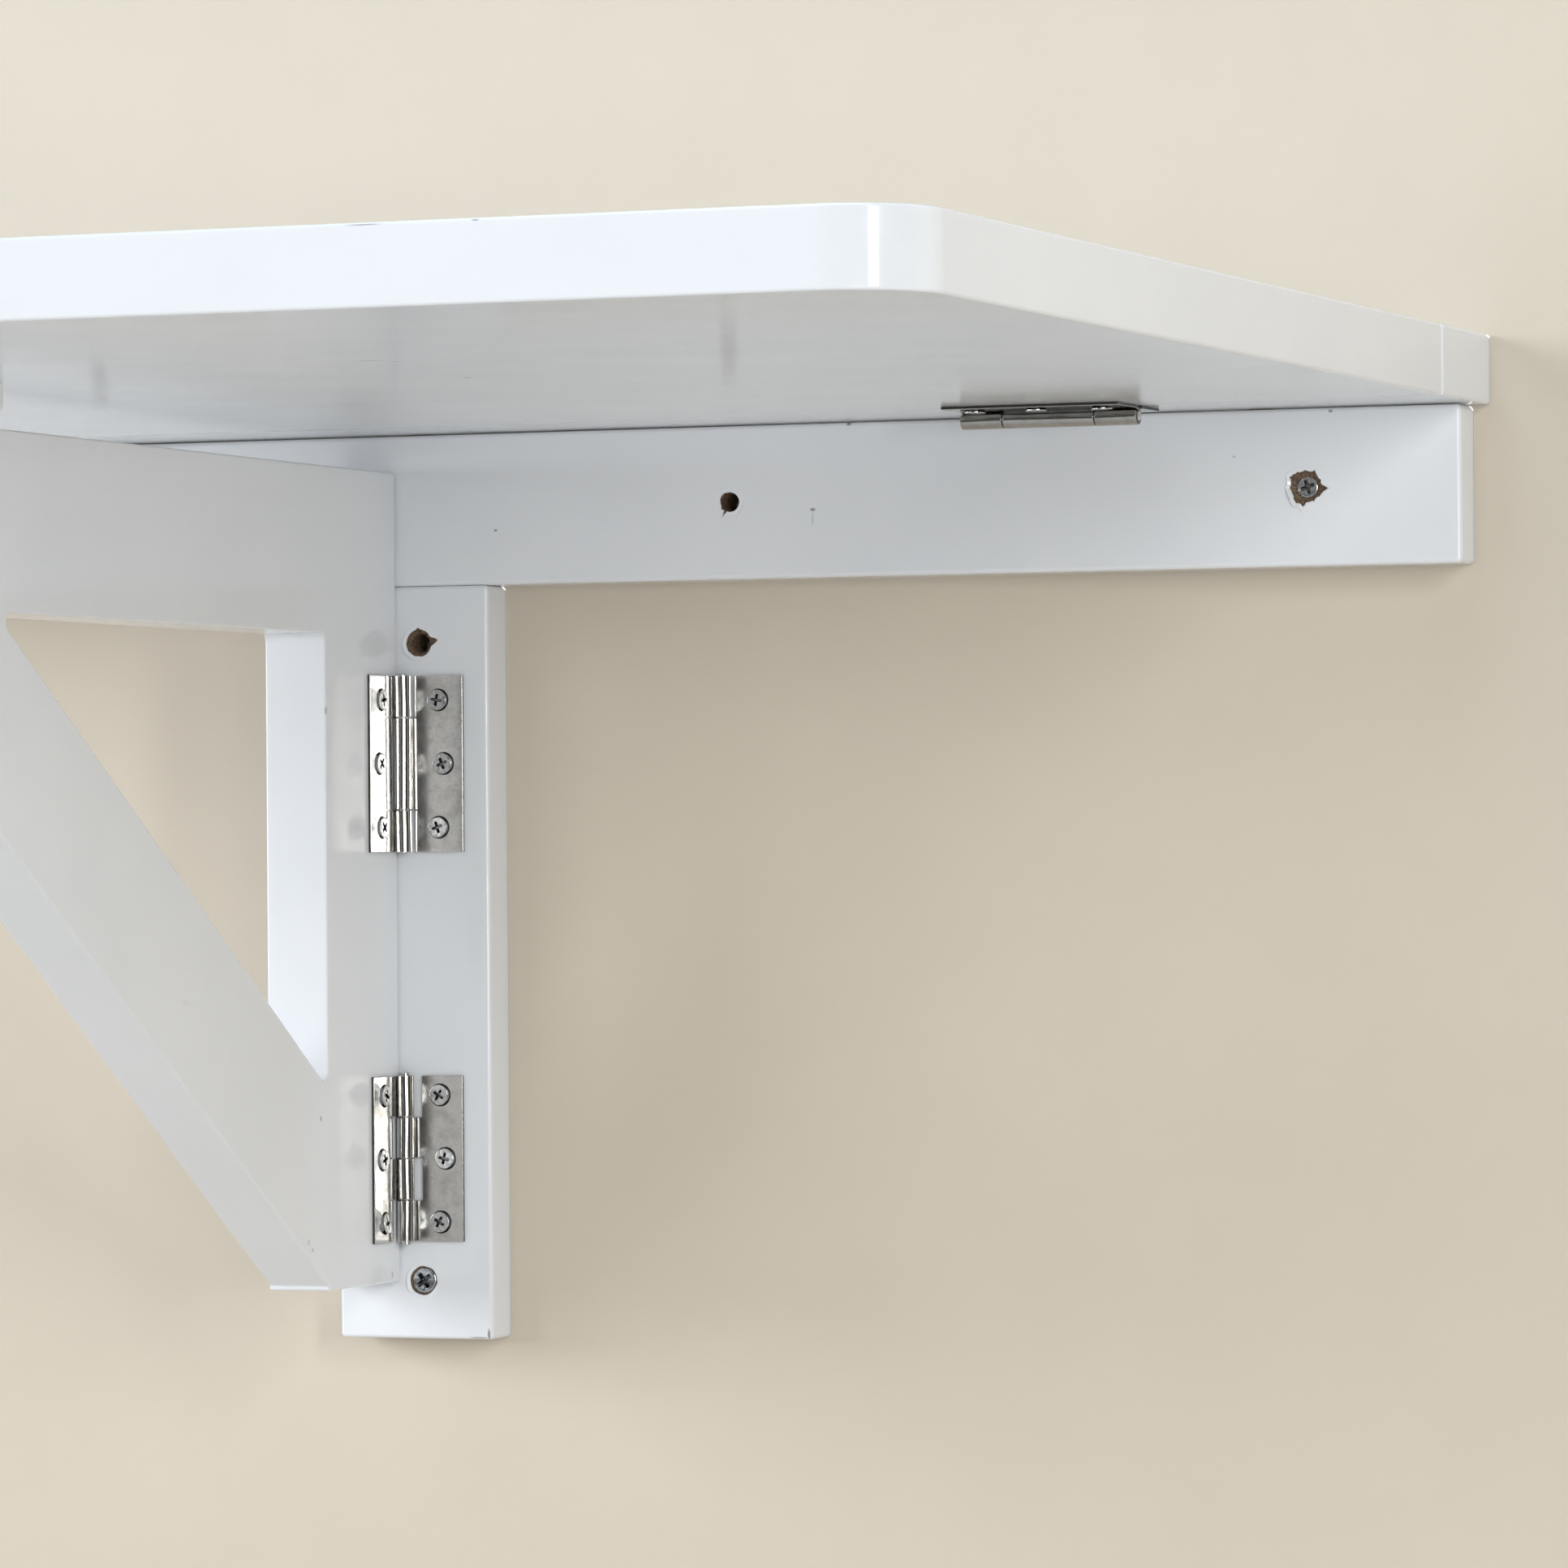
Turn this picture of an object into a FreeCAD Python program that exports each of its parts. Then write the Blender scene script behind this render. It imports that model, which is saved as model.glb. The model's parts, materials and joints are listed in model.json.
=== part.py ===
import FreeCAD, Part
import os
import Sketcher

# A wall mounted drop leaf table. A rail and a post are screwed to the wall, a narrow
# fixed shelf sits on the rail, and a leaf hangs from the shelf on two butt hinges. A
# triangular bracket on two more butt hinges swings out from the post to carry the leaf.
#
# Frame: millimetres, +Z up. The wall is the plane Y = 0 and the room is at -Y.
# X = 0 is the middle of the table, and Z = 0 is the line of the rail's wall screws.

doc = FreeCAD.newDocument("drop_leaf_table")

# ---------------------------------------------------------------- driving dimensions
DIMENSIONS = {
    # boards on the wall
    "rail_end_inset": 6.0,
    "rail_height": 55.0,
    "rail_thick": 18.0,
    "post_width": 60.0,
    "post_length": 272.0,
    # table top: fixed shelf and leaf
    "top_length": 800.0,
    "top_thick": 24.0,
    "shelf_depth": 60.0,
    "leaf_depth": 520.0,
    "seam_gap": 0.6,
    "leaf_corner_radius": 28.0,
    # swinging bracket
    "bracket_thick": 23.5,
    "bracket_height": 292.75,
    "arm_reach": 400.0,
    "bracket_inset": 0.7,
    "upright_width": 61.5,
    "member_width": 59.5,
    "brace_angle": 32.5,
    "heel_rise": 1.7,
    "back_gap": 0.6,
    "leaf_clearance": 13.75,
    "window_corner_radius": 3.0,
    "bracket_corner_radius": 4.0,
    # edges that are taken off with sandpaper before painting
    "arris": 1.0,
    # rest block under the leaf
    "rest_length": 60.0,
    "rest_width": 44.0,
    "rest_gap": 0.2,
    "rest_inset": 12.0,
    "rest_lead_in": 5.0,
    # wall screw holes
    "fixing_radius": 3.4,
    "fixing_mouth_radius": 5.0,
    "rail_fixing_inner": 124.5,
    "rail_fixing_from_end": 55.5,
    "post_fixing_shift": 3.0,
    "post_fixing_top": 20.5,
    "post_fixing_pitch": 230.5,
    # butt hinges
    "hinge_offset": 3.8,
    "hinge_plate_thick": 1.3,
    "pin_running_clearance": 0.05,
    "knuckle_end_gap": 0.15,
    "leaf_hinge_from_end": 140.0,
    "large_hinge_length": 64.0,
    "large_hinge_width": 22.5,
    "large_knuckle_standoff": 0.6,
    "large_end_knuckle": 15.3,
    "large_notch_gap": 0.4,
    "large_pin_radius": 1.8,
    "large_pin_proud": 0.7,
    "large_screw_pitch": 23.0,
    "large_screw_out": 12.9,
    "small_hinge_length": 60.0,
    "small_hinge_width": 21.5,
    "small_knuckle_standoff": 0.6,
    "small_notch_gap": 2.2,
    "small_pin_radius": 1.65,
    "small_pin_proud": 1.4,
    "small_screw_pitch": 22.9,
    "small_screw_out": 12.6,
    "screw_stagger": 2.0,
    "upper_hinge_drop": 64.2,
    "lower_hinge_drop": 206.8,
    # hinge screws
    "screw_head_radius": 4.0,
    "screw_head_proud": 0.9,
    "screw_mouth_gap": 0.1,
    "screw_length": 15.0,
    "screw_play": 0.05,
    "pilot_extra": 0.5,
    # dowels between the shelf and the rail
    "dowel_radius": 4.0,
    "dowel_depth": 16.0,
    "dowel_pitch": 320.0,
    "dowel_play": 0.05,
}

sheet = doc.addObject("Spreadsheet::Sheet", "dims")
for row, (alias, value) in enumerate(DIMENSIONS.items(), start=1):
    sheet.set(f"A{row}", alias)
    sheet.set(f"B{row}", str(value))
    sheet.setAlias(f"B{row}", alias)
doc.recompute()


def formula(text):
    """Turn {name} in a formula into the sheet's cell of that name."""
    return "(" + text.replace("{", "dims.").replace("}", "") + ")"


# ---------------------------------------------------------------- places, as formulas
UNDERSIDE = formula("{rail_height} / 2")
RAIL_BOTTOM = formula("-{rail_height} / 2")
RAIL_END = formula("{top_length} / 2 - {rail_end_inset}")
WALL_BOARD_FACE = formula("-{rail_thick}")
SEAM_Y = formula("-{shelf_depth} - {seam_gap} / 2")
LEAF_BACK = formula("-{shelf_depth} - {seam_gap}")
LEAF_FRONT = formula("-{shelf_depth} - {seam_gap} - {leaf_depth}")
BRACKET_LEFT = formula("-{post_width} / 2 + {bracket_inset}")
BRACKET_RIGHT = f"({BRACKET_LEFT} + {formula('{bracket_thick}')})"
BRACKET_MIDDLE = f"({BRACKET_LEFT} + {formula('{bracket_thick} / 2')})"
BRACKET_BACK = formula("-{rail_thick} - {back_gap}")
BRACKET_TOP = f"({UNDERSIDE} - {formula('{leaf_clearance}')})"
BRACKET_FOOT = f"({BRACKET_TOP} - {formula('{bracket_height}')})"
BRACKET_TIP = f"({BRACKET_BACK} - {formula('{arm_reach}')})"
UPRIGHT_FRONT = f"({BRACKET_BACK} - {formula('{upright_width}')})"
ARM_BOTTOM = f"({BRACKET_TOP} - {formula('{member_width}')})"
BRACE_HEEL = f"({BRACKET_FOOT} + {formula('{heel_rise}')})"
BRACE_SLOPE = formula("tan({brace_angle} * 1deg)")
BRACE_RISE = formula("{member_width} / cos({brace_angle} * 1deg)")
WINDOW_FOOT = f"({BRACE_HEEL} + {BRACE_RISE})"
WINDOW_TIP = f"({UPRIGHT_FRONT} - ({ARM_BOTTOM} - {WINDOW_FOOT}) / {BRACE_SLOPE})"
TIP_BOTTOM = f"({BRACE_HEEL} + ({UPRIGHT_FRONT} - {BRACKET_TIP}) * {BRACE_SLOPE})"
SWING_PIN_X = f"({BRACKET_RIGHT} + {formula('{hinge_offset}')})"
SWING_PIN_Y = f"({WALL_BOARD_FACE} - {formula('{hinge_offset}')})"
LEAF_PIN_Z = f"({UNDERSIDE} - {formula('{hinge_offset}')})"
LEAF_HINGE_X = formula("{top_length} / 2 - {leaf_hinge_from_end}")
UPPER_HINGE_Z = f"({RAIL_BOTTOM} - {formula('{upper_hinge_drop}')})"
LOWER_HINGE_Z = f"({RAIL_BOTTOM} - {formula('{lower_hinge_drop}')})"


def number(text):
    """The value of a formula, as a plain number."""
    value = sheet.evalExpression(text)
    return float(getattr(value, "Value", value))


# ---------------------------------------------------------------- drawing helpers
def new_body(label):
    body = doc.addObject("PartDesign::Body", label)
    body.Label = label
    return body


def new_sketch(body, role, name, lift="0"):
    """A sketch on one of the body's own origin planes, lifted along its normal."""
    plane = next(item for item in body.Origin.OriginFeatures if item.Role == role)
    sketch = body.newObject("Sketcher::SketchObject", name)
    sketch.AttachmentSupport = [(plane, "")]
    sketch.MapMode = "FlatFace"
    sketch.setExpression("AttachmentOffset.Base.z", lift)
    return sketch


def pin_down(sketch, geometry, point, across, along):
    """Tie one point of a sketch to two formulas, measured from the origin."""
    for kind, text in (("DistanceX", across), ("DistanceY", along)):
        index = sketch.addConstraint(Sketcher.Constraint(kind, -1, 1, geometry, point, number(text)))
        sketch.setExpression(f"Constraints[{index}]", text)


def draw_outline(sketch, corners):
    """A closed outline of straight lines through corners, each a pair of formulas."""
    places = [FreeCAD.Vector(number(across), number(along), 0) for across, along in corners]
    lines = [
        sketch.addGeometry(Part.LineSegment(start, end), False)
        for start, end in zip(places, places[1:] + places[:1])
    ]
    for line, following in zip(lines, lines[1:] + lines[:1]):
        sketch.addConstraint(Sketcher.Constraint("Coincident", line, 2, following, 1))
    for line, (across, along) in zip(lines, corners):
        pin_down(sketch, line, 1, across, along)


def draw_rectangle(sketch, left, right, low, high):
    draw_outline(sketch, [(left, low), (right, low), (right, high), (left, high)])


def draw_circle(sketch, across, along, radius):
    centre = FreeCAD.Vector(number(across), number(along), 0)
    circle = sketch.addGeometry(Part.Circle(centre, FreeCAD.Vector(0, 0, 1), number(radius)), False)
    pin_down(sketch, circle, 3, across, along)
    index = sketch.addConstraint(Sketcher.Constraint("Radius", circle, number(radius)))
    sketch.setExpression(f"Constraints[{index}]", radius)


def pad(body, sketch, length, name, both_sides=False):
    feature = body.newObject("PartDesign::Pad", name)
    feature.Profile = sketch
    feature.Midplane = both_sides
    feature.setExpression("Length", length)
    doc.recompute()
    return feature


def pocket(body, sketch, depth, name, upward=False, both_sides=False, taper=0.0):
    """Cut a sketch into the body, and make sure that it met some wood or steel."""
    volume_before = body.Shape.Volume
    feature = body.newObject("PartDesign::Pocket", name)
    feature.Profile = sketch
    feature.Reversed = upward
    feature.Midplane = both_sides
    feature.TaperAngle = taper
    feature.setExpression("Length", depth)
    doc.recompute()
    if body.Shape.Volume >= volume_before:
        raise RuntimeError(f"{body.Label}: {name} cut nothing")
    return feature


def lies_at(edge, axis, text):
    """True for an edge that lies whole in the plane where axis has the formula's value."""
    box = edge.BoundBox
    place = number(text)
    return all(abs(getattr(box, axis + end) - place) < 0.01 for end in ("Min", "Max"))


def runs_along(edge, axis):
    """True for a straight edge parallel to an axis."""
    box = edge.BoundBox
    others = [name for name in "XYZ" if name != axis]
    return all(getattr(box, name + "Length") < 0.01 for name in others)


def dress(body, kind, dimension, size, name, wanted):
    """Work the edges of the body's last feature for which wanted(edge) is true."""
    base = body.Tip
    edges = [f"Edge{index}" for index, edge in enumerate(base.Shape.Edges, start=1) if wanted(edge)]
    if not edges:
        raise RuntimeError(f"{body.Label}: {name} found no edge")
    feature = body.newObject(kind, name)
    feature.Base = (base, edges)
    feature.setExpression(dimension, size)
    doc.recompute()
    return feature


def round_over(body, radius, name, wanted):
    return dress(body, "PartDesign::Fillet", "Radius", radius, name, wanted)


def bevel(body, size, name, wanted):
    return dress(body, "PartDesign::Chamfer", "Size", size, name, wanted)


def drill(body, role, lift, spots, radius, depth, name, upward=False, taper=0.0):
    """Round holes of one radius at a list of spots, cut from the plane at lift."""
    sketch = new_sketch(body, role, name + "_spots", lift)
    for across, along in spots:
        draw_circle(sketch, across, along, radius)
    return pocket(body, sketch, depth, name, upward, taper=taper)


ARRIS = formula("{arris}")
SCREW_NECK = formula("{screw_head_radius} - {screw_head_proud} - {hinge_plate_thick} + {screw_play}")
SCREW_PILOT = f"({SCREW_NECK} + {formula('{screw_play}')})"
SCREW_PILOT_DEPTH = formula("{screw_length} - {hinge_plate_thick} + {pilot_extra}")
SCREW_MOUTH = formula("{screw_head_radius} + {screw_mouth_gap}")
COUNTERSINK_TAPER = -45.0


def screw_spots(size):
    """The three screws of one hinge plate: how far out from the pin, and how far along it."""
    out = formula(f"{{{size}_screw_out}}")
    pitch = formula(f"{{{size}_screw_pitch}}")
    staggered = f"({out} + {formula('{screw_stagger}')})"
    return [(out, f"(-{pitch})"), (staggered, "(0)"), (out, pitch)]


# ---------------------------------------------------------------- boards on the wall
def make_wall_rail():
    """The rail: a board on edge along the wall, with four holes for wall screws."""
    body = new_body("wall_rail")
    outline = new_sketch(body, "XZ_Plane", "rail_outline")
    draw_rectangle(outline, f"(-{RAIL_END})", RAIL_END, RAIL_BOTTOM, UNDERSIDE)
    pad(body, outline, formula("{rail_thick}"), "rail_board")
    bevel(body, ARRIS, "rail_arris", lambda edge: lies_at(edge, "Y", WALL_BOARD_FACE))
    inner = formula("{rail_fixing_inner}")
    outer = f"({RAIL_END} - {formula('{rail_fixing_from_end}')})"
    drill_fixings(body, [(f"(-{outer})", "(0)"), (outer, "(0)")], "fixing", True)
    drill_fixings(body, [(f"(-{inner})", "(0)"), (inner, "(0)")], "inner_fixing", False)
    drill(body, "XY_Plane", UNDERSIDE, dowel_spots(), DOWEL_BORE, DOWEL_BORE_DEPTH, "rail_dowel_bores")
    return body


def drill_fixings(body, spots, name, sunk):
    """Holes for wall screws: clear for the shank, and if sunk, a cone in front for the head."""
    face = formula("{rail_thick}")
    mouth = formula("{fixing_mouth_radius}")
    drill(body, "XZ_Plane", face, spots, formula("{fixing_radius}"), face, name + "_holes")
    if sunk:
        cone = formula("{fixing_mouth_radius} / 2")
        drill(body, "XZ_Plane", face, spots, mouth, cone, name + "_mouths", taper=COUNTERSINK_TAPER)


DOWEL_BORE = formula("{dowel_radius} + {dowel_play}")
DOWEL_BORE_DEPTH = formula("{dowel_depth} + {dowel_play}")
DOWELS_EACH_SIDE = 1


def dowel_spots():
    """Centres of the dowels, spread along the middle of the rail's top edge."""
    steps = range(-DOWELS_EACH_SIDE, DOWELS_EACH_SIDE + 1)
    return [(formula(f"{step} * {{dowel_pitch}}"), formula("-{rail_thick} / 2")) for step in steps]


def make_wall_post():
    """The post: an upright board under the rail that holds the bracket's two hinges."""
    body = new_body("wall_post")
    outline = new_sketch(body, "XZ_Plane", "post_outline")
    half_width = formula("{post_width} / 2")
    foot = f"({RAIL_BOTTOM} - {formula('{post_length}')})"
    draw_rectangle(outline, f"(-{half_width})", half_width, foot, RAIL_BOTTOM)
    pad(body, outline, formula("{rail_thick}"), "post_board")
    bevel(body, ARRIS, "post_arris", lambda edge: lies_at(edge, "Y", WALL_BOARD_FACE))
    shift = formula("{post_fixing_shift}")
    top = f"({RAIL_BOTTOM} - {formula('{post_fixing_top}')})"
    foot_fixing = f"({top} - {formula('{post_fixing_pitch}')})"
    drill_fixings(body, [(shift, top), (shift, foot_fixing)], "fixing", True)
    pilots = [
        (f"({SWING_PIN_X} + {out})", f"({height} + {along})")
        for size, height in (("large", UPPER_HINGE_Z), ("small", LOWER_HINGE_Z))
        for out, along in screw_spots(size)
    ]
    face = formula("{rail_thick}")
    drill(body, "XZ_Plane", face, pilots, SCREW_PILOT, SCREW_PILOT_DEPTH, "post_pilots")
    return body


# ---------------------------------------------------------------- table top
def top_pilots(direction):
    """Pilot holes of both leaf hinges, on one side of the pin line."""
    return [
        (f"({side}{LEAF_HINGE_X} + {along})", f"({SEAM_Y} {direction} {out})")
        for side in ("-", "")
        for out, along in screw_spots("large")
    ]


def ease_board(body, back, name):
    """Take the arris off both faces' outlines and off the two short edges at the back."""
    top = f"({UNDERSIDE} + {formula('{top_thick}')})"

    def wanted(edge):
        if runs_along(edge, "Z"):
            return lies_at(edge, "Y", back)
        return lies_at(edge, "Z", UNDERSIDE) or lies_at(edge, "Z", top)

    bevel(body, ARRIS, name, wanted)


def make_fixed_shelf():
    """The narrow fixed part of the top, doweled down onto the rail and proud of it."""
    body = new_body("fixed_shelf")
    outline = new_sketch(body, "XY_Plane", "shelf_outline", UNDERSIDE)
    half_length = formula("{top_length} / 2")
    front = formula("-{shelf_depth}")
    draw_rectangle(outline, f"(-{half_length})", half_length, front, "(0)")
    pad(body, outline, formula("{top_thick}"), "shelf_board")
    ease_board(body, front, "shelf_arris")
    spots = dowel_spots()
    drill(body, "XY_Plane", UNDERSIDE, spots, DOWEL_BORE, DOWEL_BORE_DEPTH, "shelf_dowel_bores", True)
    drill(body, "XY_Plane", UNDERSIDE, top_pilots("+"), SCREW_PILOT, SCREW_PILOT_DEPTH, "shelf_pilots", True)
    return body


def make_table_leaf():
    """The drop leaf: one wide board with its two front corners rounded in plan."""
    body = new_body("table_leaf")
    outline = new_sketch(body, "XY_Plane", "leaf_outline", UNDERSIDE)
    half_length = formula("{top_length} / 2")
    draw_rectangle(outline, f"(-{half_length})", half_length, LEAF_FRONT, LEAF_BACK)
    pad(body, outline, formula("{top_thick}"), "leaf_board")

    def front_corner(edge):
        return runs_along(edge, "Z") and lies_at(edge, "Y", LEAF_FRONT)

    round_over(body, formula("{leaf_corner_radius}"), "leaf_corners", front_corner)
    ease_board(body, LEAF_BACK, "leaf_arris")
    drill(body, "XY_Plane", UNDERSIDE, top_pilots("-"), SCREW_PILOT, SCREW_PILOT_DEPTH, "leaf_pilots", True)
    return body


def make_shelf_dowels():
    """Plain wooden dowels, half in the rail's top edge and half in the shelf."""
    dowels = []
    for number_along, (across, along) in enumerate(dowel_spots(), start=1):
        dowel = doc.addObject("Part::Cylinder", f"shelf_dowel_{number_along}")
        dowel.setExpression("Radius", formula("{dowel_radius}"))
        dowel.setExpression("Height", formula("2 * {dowel_depth}"))
        dowel.setExpression("Placement.Base.x", across)
        dowel.setExpression("Placement.Base.y", along)
        dowel.setExpression("Placement.Base.z", f"({UNDERSIDE} - {formula('{dowel_depth}')})")
        dowels.append(dowel)
    group = doc.addObject("Part::Compound", "shelf_dowels")
    group.Label = "shelf_dowels"
    group.Links = dowels
    return group


# ---------------------------------------------------------------- rest block
REST_FRONT = f"({BRACKET_TIP} + {formula('{rest_inset}')})"
REST_BACK = f"({REST_FRONT} + {formula('{rest_length}')})"
REST_THICK = formula("{leaf_clearance} - {rest_gap}")
REST_BOTTOM = f"({UNDERSIDE} - {REST_THICK})"


def make_rest_block():
    """The block glued under the leaf, which rests on the swung-out arm. The edge that
    the arm meets first is cut back to a slope, so that the arm slides under it."""
    body = new_body("rest_block")
    outline = new_sketch(body, "XY_Plane", "rest_outline", REST_BOTTOM)
    half_width = formula("{rest_width} / 2")
    left = f"({BRACKET_MIDDLE} - {half_width})"
    right = f"({BRACKET_MIDDLE} + {half_width})"
    draw_rectangle(outline, left, right, REST_FRONT, REST_BACK)
    pad(body, outline, REST_THICK, "rest_board")

    def met_first(edge):
        return lies_at(edge, "X", right) and lies_at(edge, "Z", REST_BOTTOM)

    bevel(body, formula("{rest_lead_in}"), "rest_lead_in", met_first)
    return body


# ---------------------------------------------------------------- swinging bracket
def make_swing_bracket():
    """The bracket: an arm, an upright and a brace, all cut from one board around a
    triangular window, with the brace's lower edge running down to the foot."""
    body = new_body("swing_bracket")
    outline = new_sketch(body, "YZ_Plane", "bracket_outline", BRACKET_LEFT)
    draw_outline(
        outline,
        [
            (BRACKET_BACK, BRACKET_TOP),
            (BRACKET_TIP, BRACKET_TOP),
            (BRACKET_TIP, TIP_BOTTOM),
            (UPRIGHT_FRONT, BRACE_HEEL),
            (UPRIGHT_FRONT, BRACKET_FOOT),
            (BRACKET_BACK, BRACKET_FOOT),
        ],
    )
    pad(body, outline, formula("{bracket_thick}"), "bracket_board")
    window = new_sketch(body, "YZ_Plane", "window_outline", BRACKET_RIGHT)
    draw_outline(
        window,
        [(UPRIGHT_FRONT, ARM_BOTTOM), (WINDOW_TIP, ARM_BOTTOM), (UPRIGHT_FRONT, WINDOW_FOOT)],
    )
    pocket(body, window, formula("{bracket_thick}"), "bracket_window")

    def window_corner(edge):
        inside = number(WINDOW_TIP) - 0.01 < edge.CenterOfMass.y < number(UPRIGHT_FRONT) + 0.01
        below_arm = number(WINDOW_FOOT) - 0.01 < edge.CenterOfMass.z < number(ARM_BOTTOM) + 0.01
        return runs_along(edge, "X") and inside and below_arm

    round_over(body, formula("{window_corner_radius}"), "window_corners", window_corner)

    def outer_corner(edge):
        return runs_along(edge, "X") and lies_at(edge, "Y", BRACKET_TIP)

    round_over(body, formula("{bracket_corner_radius}"), "tip_corners", outer_corner)

    def face_outline(edge):
        return lies_at(edge, "X", BRACKET_LEFT) or lies_at(edge, "X", BRACKET_RIGHT)

    bevel(body, ARRIS, "bracket_arris", face_outline)
    pilots = [
        (f"({SWING_PIN_Y} - {out})", f"({height} + {along})")
        for size, height in (("large", UPPER_HINGE_Z), ("small", LOWER_HINGE_Z))
        for out, along in screw_spots(size)
    ]
    drill(body, "YZ_Plane", BRACKET_RIGHT, pilots, SCREW_PILOT, SCREW_PILOT_DEPTH, "bracket_pilots")
    return body


# ---------------------------------------------------------------- butt hinges
# Each hinge is drawn about its own pin: the pin runs along local Z, a plate lies along
# local X, and the board that the plate is screwed to is at side * Y.
FIXED, MOVING = 1, -1


def knuckle_bounds(size):
    """Heights at which one knuckle ends and the next begins, from the hinge's foot up."""
    half = formula(f"{{{size}_hinge_length}} / 2")
    if size == "large":
        end = formula("{large_end_knuckle}")
        return [f"(-{half})", f"({end} - {half})", f"({half} - {end})", half]
    return [formula(f"{{{size}_hinge_length}} * {quarter} / 4") + f" - {half}" for quarter in range(5)]


def knuckle_owner(size, order):
    """The plate that a knuckle is rolled from. Order counts up from the hinge's foot."""
    first = MOVING if size == "large" else FIXED
    return first if order % 2 == 0 else -first


def make_hinge_plate(label, size, side, placement):
    """A flat plate with its own knuckles, notches for the other plate's knuckles, a bore
    for the pin and three countersunk screw holes."""
    body = new_body(label)
    place_body(body, *placement)
    offset = formula("{hinge_offset}")
    outer_face = formula(f"{side} * ({{hinge_offset}} - {{hinge_plate_thick}})")
    width = formula(f"{{{size}_hinge_width}}")
    knuckle = formula(f"{{hinge_offset}} - {{{size}_knuckle_standoff}}")
    bounds = knuckle_bounds(size)
    own = [order for order in range(len(bounds) - 1) if knuckle_owner(size, order) == side]
    other = [order for order in range(len(bounds) - 1) if order not in own]
    gap = formula("{knuckle_end_gap} / 2")

    outline = new_sketch(body, "XY_Plane", label + "_outline")
    draw_rectangle(outline, "(0)", width, outer_face, f"({side} * {offset})")
    pad(body, outline, formula(f"{{{size}_hinge_length}}"), label + "_flat", both_sides=True)

    notches = new_sketch(body, "XZ_Plane", label + "_notches")
    reach = f"({knuckle} + {formula(f'{{{size}_notch_gap}}')})"
    for order in other:
        low = f"({bounds[order]} - {gap})"
        high = f"({bounds[order + 1]} + {gap})"
        draw_rectangle(notches, f"(-{knuckle})", reach, low, high)
    pocket(body, notches, f"(4 * {offset})", label + "_notch", both_sides=True)

    for order in own:
        low = f"({bounds[order]} + {gap})"
        high = f"({bounds[order + 1]} - {gap})"
        roll = new_sketch(body, "XY_Plane", f"{label}_roll_{order + 1}", low)
        draw_circle(roll, "(0)", "(0)", knuckle)
        pad(body, roll, f"({high} - {low})", f"{label}_knuckle_{order + 1}")

    bore = new_sketch(body, "XY_Plane", label + "_bore")
    draw_circle(bore, "(0)", "(0)", formula(f"{{{size}_pin_radius}} + {{pin_running_clearance}}"))
    pocket(body, bore, formula(f"2 * {{{size}_hinge_length}}"), label + "_pin_bore", both_sides=True)

    mouths = new_sketch(body, "XZ_Plane", label + "_screw_mouths", f"(-1 * {outer_face})")
    for out, along in screw_spots(size):
        draw_circle(mouths, out, along, SCREW_MOUTH)
    depth = formula("{hinge_plate_thick}")
    pocket(body, mouths, depth, label + "_screw_holes", upward=side == MOVING, taper=COUNTERSINK_TAPER)
    return body


def make_hinge_pin(label, size, placement):
    """The hinge's pin, which stands a little proud of the knuckles at both ends."""
    body = new_body(label)
    place_body(body, *placement)
    radius = formula(f"{{{size}_pin_radius}}")
    length = formula(f"{{{size}_hinge_length}} + 2 * {{{size}_pin_proud}}")
    outline = new_sketch(body, "XY_Plane", label + "_outline")
    draw_circle(outline, "(0)", "(0)", radius)
    pad(body, outline, length, label + "_rod", both_sides=True)
    return body


def make_screws(label, spots, seat, side, length, placement):
    """Countersunk screws, each one turned about its own axis. seat is how far the
    plate's outer face is from local Y = 0."""
    body = new_body(label)
    body.AllowCompound = True
    place_body(body, *placement)
    head = formula("{screw_head_radius}")
    proud = formula("{screw_head_proud}")
    profile = [
        ("(0)", f"(-{proud})"),
        (head, f"(-{proud})"),
        (SCREW_NECK, formula("{hinge_plate_thick} - {screw_play}")),
        (SCREW_NECK, length),
        ("(0)", length),
    ]
    for order, (out, along) in enumerate(spots, start=1):
        sketch = new_sketch(body, "XY_Plane", f"{label}_profile_{order}", along)
        sketch.setExpression("AttachmentOffset.Base.x", out)
        draw_outline(sketch, [(radius, f"({side} * ({seat} + {depth}))") for radius, depth in profile])
        turned = body.newObject("PartDesign::Revolution", f"{label}_screw_{order}")
        turned.Profile = sketch
        turned.ReferenceAxis = (sketch, ["V_Axis"])
        turned.Angle = 360.0
        doc.recompute()
    return body


def place_body(body, turn, x, y, z):
    body.Placement = FreeCAD.Placement(FreeCAD.Vector(), turn)
    for axis, text in (("x", x), ("y", y), ("z", z)):
        body.setExpression(f"Placement.Base.{axis}", text)


# Plates of the bracket hinges: the fixed one lies along +X on the post, and the moving
# one along -Y on the bracket's right face. Plates of the leaf hinges: the fixed one lies
# along +Y under the shelf, and the moving one along -Y under the leaf.
Z_AXIS = FreeCAD.Vector(0, 0, 1)
ON_POST = FreeCAD.Rotation()
ON_BRACKET = FreeCAD.Rotation(Z_AXIS, -90)
UNDER_SHELF = FreeCAD.Rotation(FreeCAD.Vector(1, 1, 1), 120)
UNDER_LEAF = UNDER_SHELF.multiply(FreeCAD.Rotation(Z_AXIS, 180))

UPPER_PLACE = (SWING_PIN_X, SWING_PIN_Y, UPPER_HINGE_Z)
LOWER_PLACE = (SWING_PIN_X, SWING_PIN_Y, LOWER_HINGE_Z)
LEFT_PLACE = (f"(-{LEAF_HINGE_X})", SEAM_Y, LEAF_PIN_Z)
RIGHT_PLACE = (LEAF_HINGE_X, SEAM_Y, LEAF_PIN_Z)

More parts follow.
